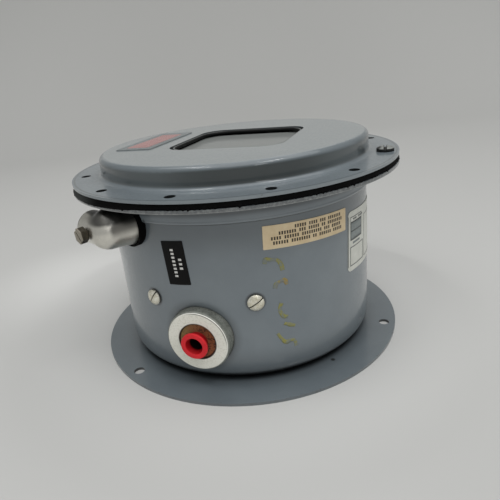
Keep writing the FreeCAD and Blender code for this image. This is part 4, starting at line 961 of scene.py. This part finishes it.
makeTicks()
numberAngles = np.linspace(dialScale["sweep"], -dialScale["sweep"], len(dialScale["values"]))
for value, angle in zip(dialScale["values"], np.radians(numberAngles)):
    makeNumber(value, angle)
print("dial scale made")

# Camera of the photograph: standing to the right of the port, rolled a little
cameraView = {
    "place": (0.0990, -0.2649, 0.1566), "target": (0.0, 0.0, 0.05), "roll": 0.105,
    "lens": 34.54, "sensor": 36.0, "shift": (0.01222, -0.0120), "nearest": 0.01,
}


def setCamera():
    view = cameraView
    place = Vector(view["place"])
    ahead = (Vector(view["target"]) - place).normalized()
    level = ahead.cross(Vector((0, 0, 1))).normalized()
    above = level.cross(ahead)
    right = level * math.cos(view["roll"]) - above * math.sin(view["roll"])
    up = level * math.sin(view["roll"]) + above * math.cos(view["roll"])
    lens = bpy.data.cameras.new("photo camera")
    lens.lens, lens.sensor_width = view["lens"], view["sensor"]
    lens.shift_x, lens.shift_y = view["shift"]
    lens.clip_start = view["nearest"]
    camera = bpy.data.objects.new("photo camera", lens)
    turn = Matrix((right, up, -ahead)).transposed()
    camera.matrix_world = Matrix.Translation(place) @ turn.to_4x4()
    bpy.context.scene.collection.objects.link(camera)
    bpy.context.scene.camera = camera


# Matt paper that sweeps up into a backdrop, greyer higher up, with paler and darker patches for the uneven
# light of the photograph: a flat run, a quarter circle and a wall, carried sideways
stageLook = {
    "front": -1600.0, "bend": 750.0, "radius": 550.0, "wall": 1600.0, "half": 2400.0,
    "arcSteps": 24, "columns": 5, "facing": (-0.35, 0.937),
    "floor": "#bbbbb9", "high": "#b4b4b2", "fade": (60.0, 700.0),
    "patches": [
        ("#b0b0ae", 1.0, [((-330.0, 1090.0, 160.0), 750.0, 150.0)]),
        ("#b4b4b2", 0.6, [((230.0, 480.0, 0.0), 450.0, 100.0)]),
        ("#b4b4b2", 0.6, [((170.0, -110.0, 0.0), 120.0, 20.0)]),
        ("#d2d2d0", 0.55, [("axis", 150.0, 98.0)]),
        ("#d0d0ce", 1.0, [((-150.0, 45.0, 0.0), 115.0, 10.0)]),
    ],
}


def makeStage():
    look = stageLook
    arc = np.linspace(0, math.pi / 2, look["arcSteps"])
    back = look["bend"] + look["radius"]
    out = np.concatenate([[look["front"]], look["bend"] + look["radius"] * np.sin(arc), [back]])
    lift = np.concatenate([[0.0], look["radius"] * (1 - np.cos(arc)), [look["radius"] + look["wall"]]])
    side = np.linspace(-look["half"], look["half"], look["columns"])
    fx, fy = look["facing"]
    o, s = np.meshgrid(out, side, indexing="ij")
    z = np.repeat(lift[:, None], len(side), 1)
    points = np.stack([fx * o + fy * s, fy * o - fx * s, z], -1)
    marks = [(look["high"], 1.0, [("Z", *look["fade"])]), *look["patches"]]
    paper = makeFinish("matt paper backdrop", (look["floor"], look["floor"]), driftMm=40.0,
                       gloss=(0.88, 0.92), grainMm=2.0, grainHeight=0.0, marks=marks)
    makePiece("paperSweep", points, gridFaces(len(out), len(side))[:, ::-1], paper, None)


# Soft studio light: a wide ceiling box, two strip lamps in front that draw the streaks on the cover's
# shoulder, a low fill that lights without a shine, a small lamp for the glint on the elbow, and a dim
# room
lamps = {
    "ceiling": {"place": (0.25, -0.1, 1.5), "size": (2.2, 2.2), "watts": 18.9, "aim": (0.1, 0, 0)},
    "leftLamp": {"place": (-0.31, -0.36, 1.25), "size": (0.44, 0.03), "watts": 1.6, "aim": (0, 0, 0.05)},
    "rightLamp": {"place": (0.66, -0.36, 1.25), "size": (0.44, 0.03), "watts": 2.2, "aim": (0, 0, 0.05)},
    "frontFill": {"place": (0.55, -1.5, 0.35), "size": (1.2, 1.2), "watts": 4.2, "aim": (0, 0, 0.04),
                  "shine": False},
    "keyLamp": {"place": (0.93, -1.07, 0.87), "size": (0.26, 0.26), "watts": 1.15, "aim": (0, 0, 0.05)},
}
room = {"colour": "#b9bab9", "strength": 0.75}


def setLight():
    for name, look in lamps.items():
        lamp = bpy.data.lights.new(name, "AREA")
        lamp.shape, lamp.energy = "RECTANGLE", look["watts"]
        lamp.size, lamp.size_y = look["size"]
        holder = bpy.data.objects.new(name, lamp)
        aim = Vector(look["aim"]) - Vector(look["place"])
        turn = aim.to_track_quat("-Z", "Y").to_matrix().to_4x4()
        holder.matrix_world = Matrix.Translation(look["place"]) @ turn
        holder.visible_glossy = look.get("shine", True)
        bpy.context.scene.collection.objects.link(holder)
    world = bpy.data.worlds.new("studio room")
    bpy.context.scene.world = world
    world.use_nodes = True
    background = world.node_tree.nodes["Background"]
    background.inputs["Color"].default_value = toLinear(room["colour"])
    background.inputs["Strength"].default_value = room["strength"]


setCamera()
makeStage()
setLight()
bpy.context.scene.view_settings.view_transform = "Standard"
print("camera, stage and light set")
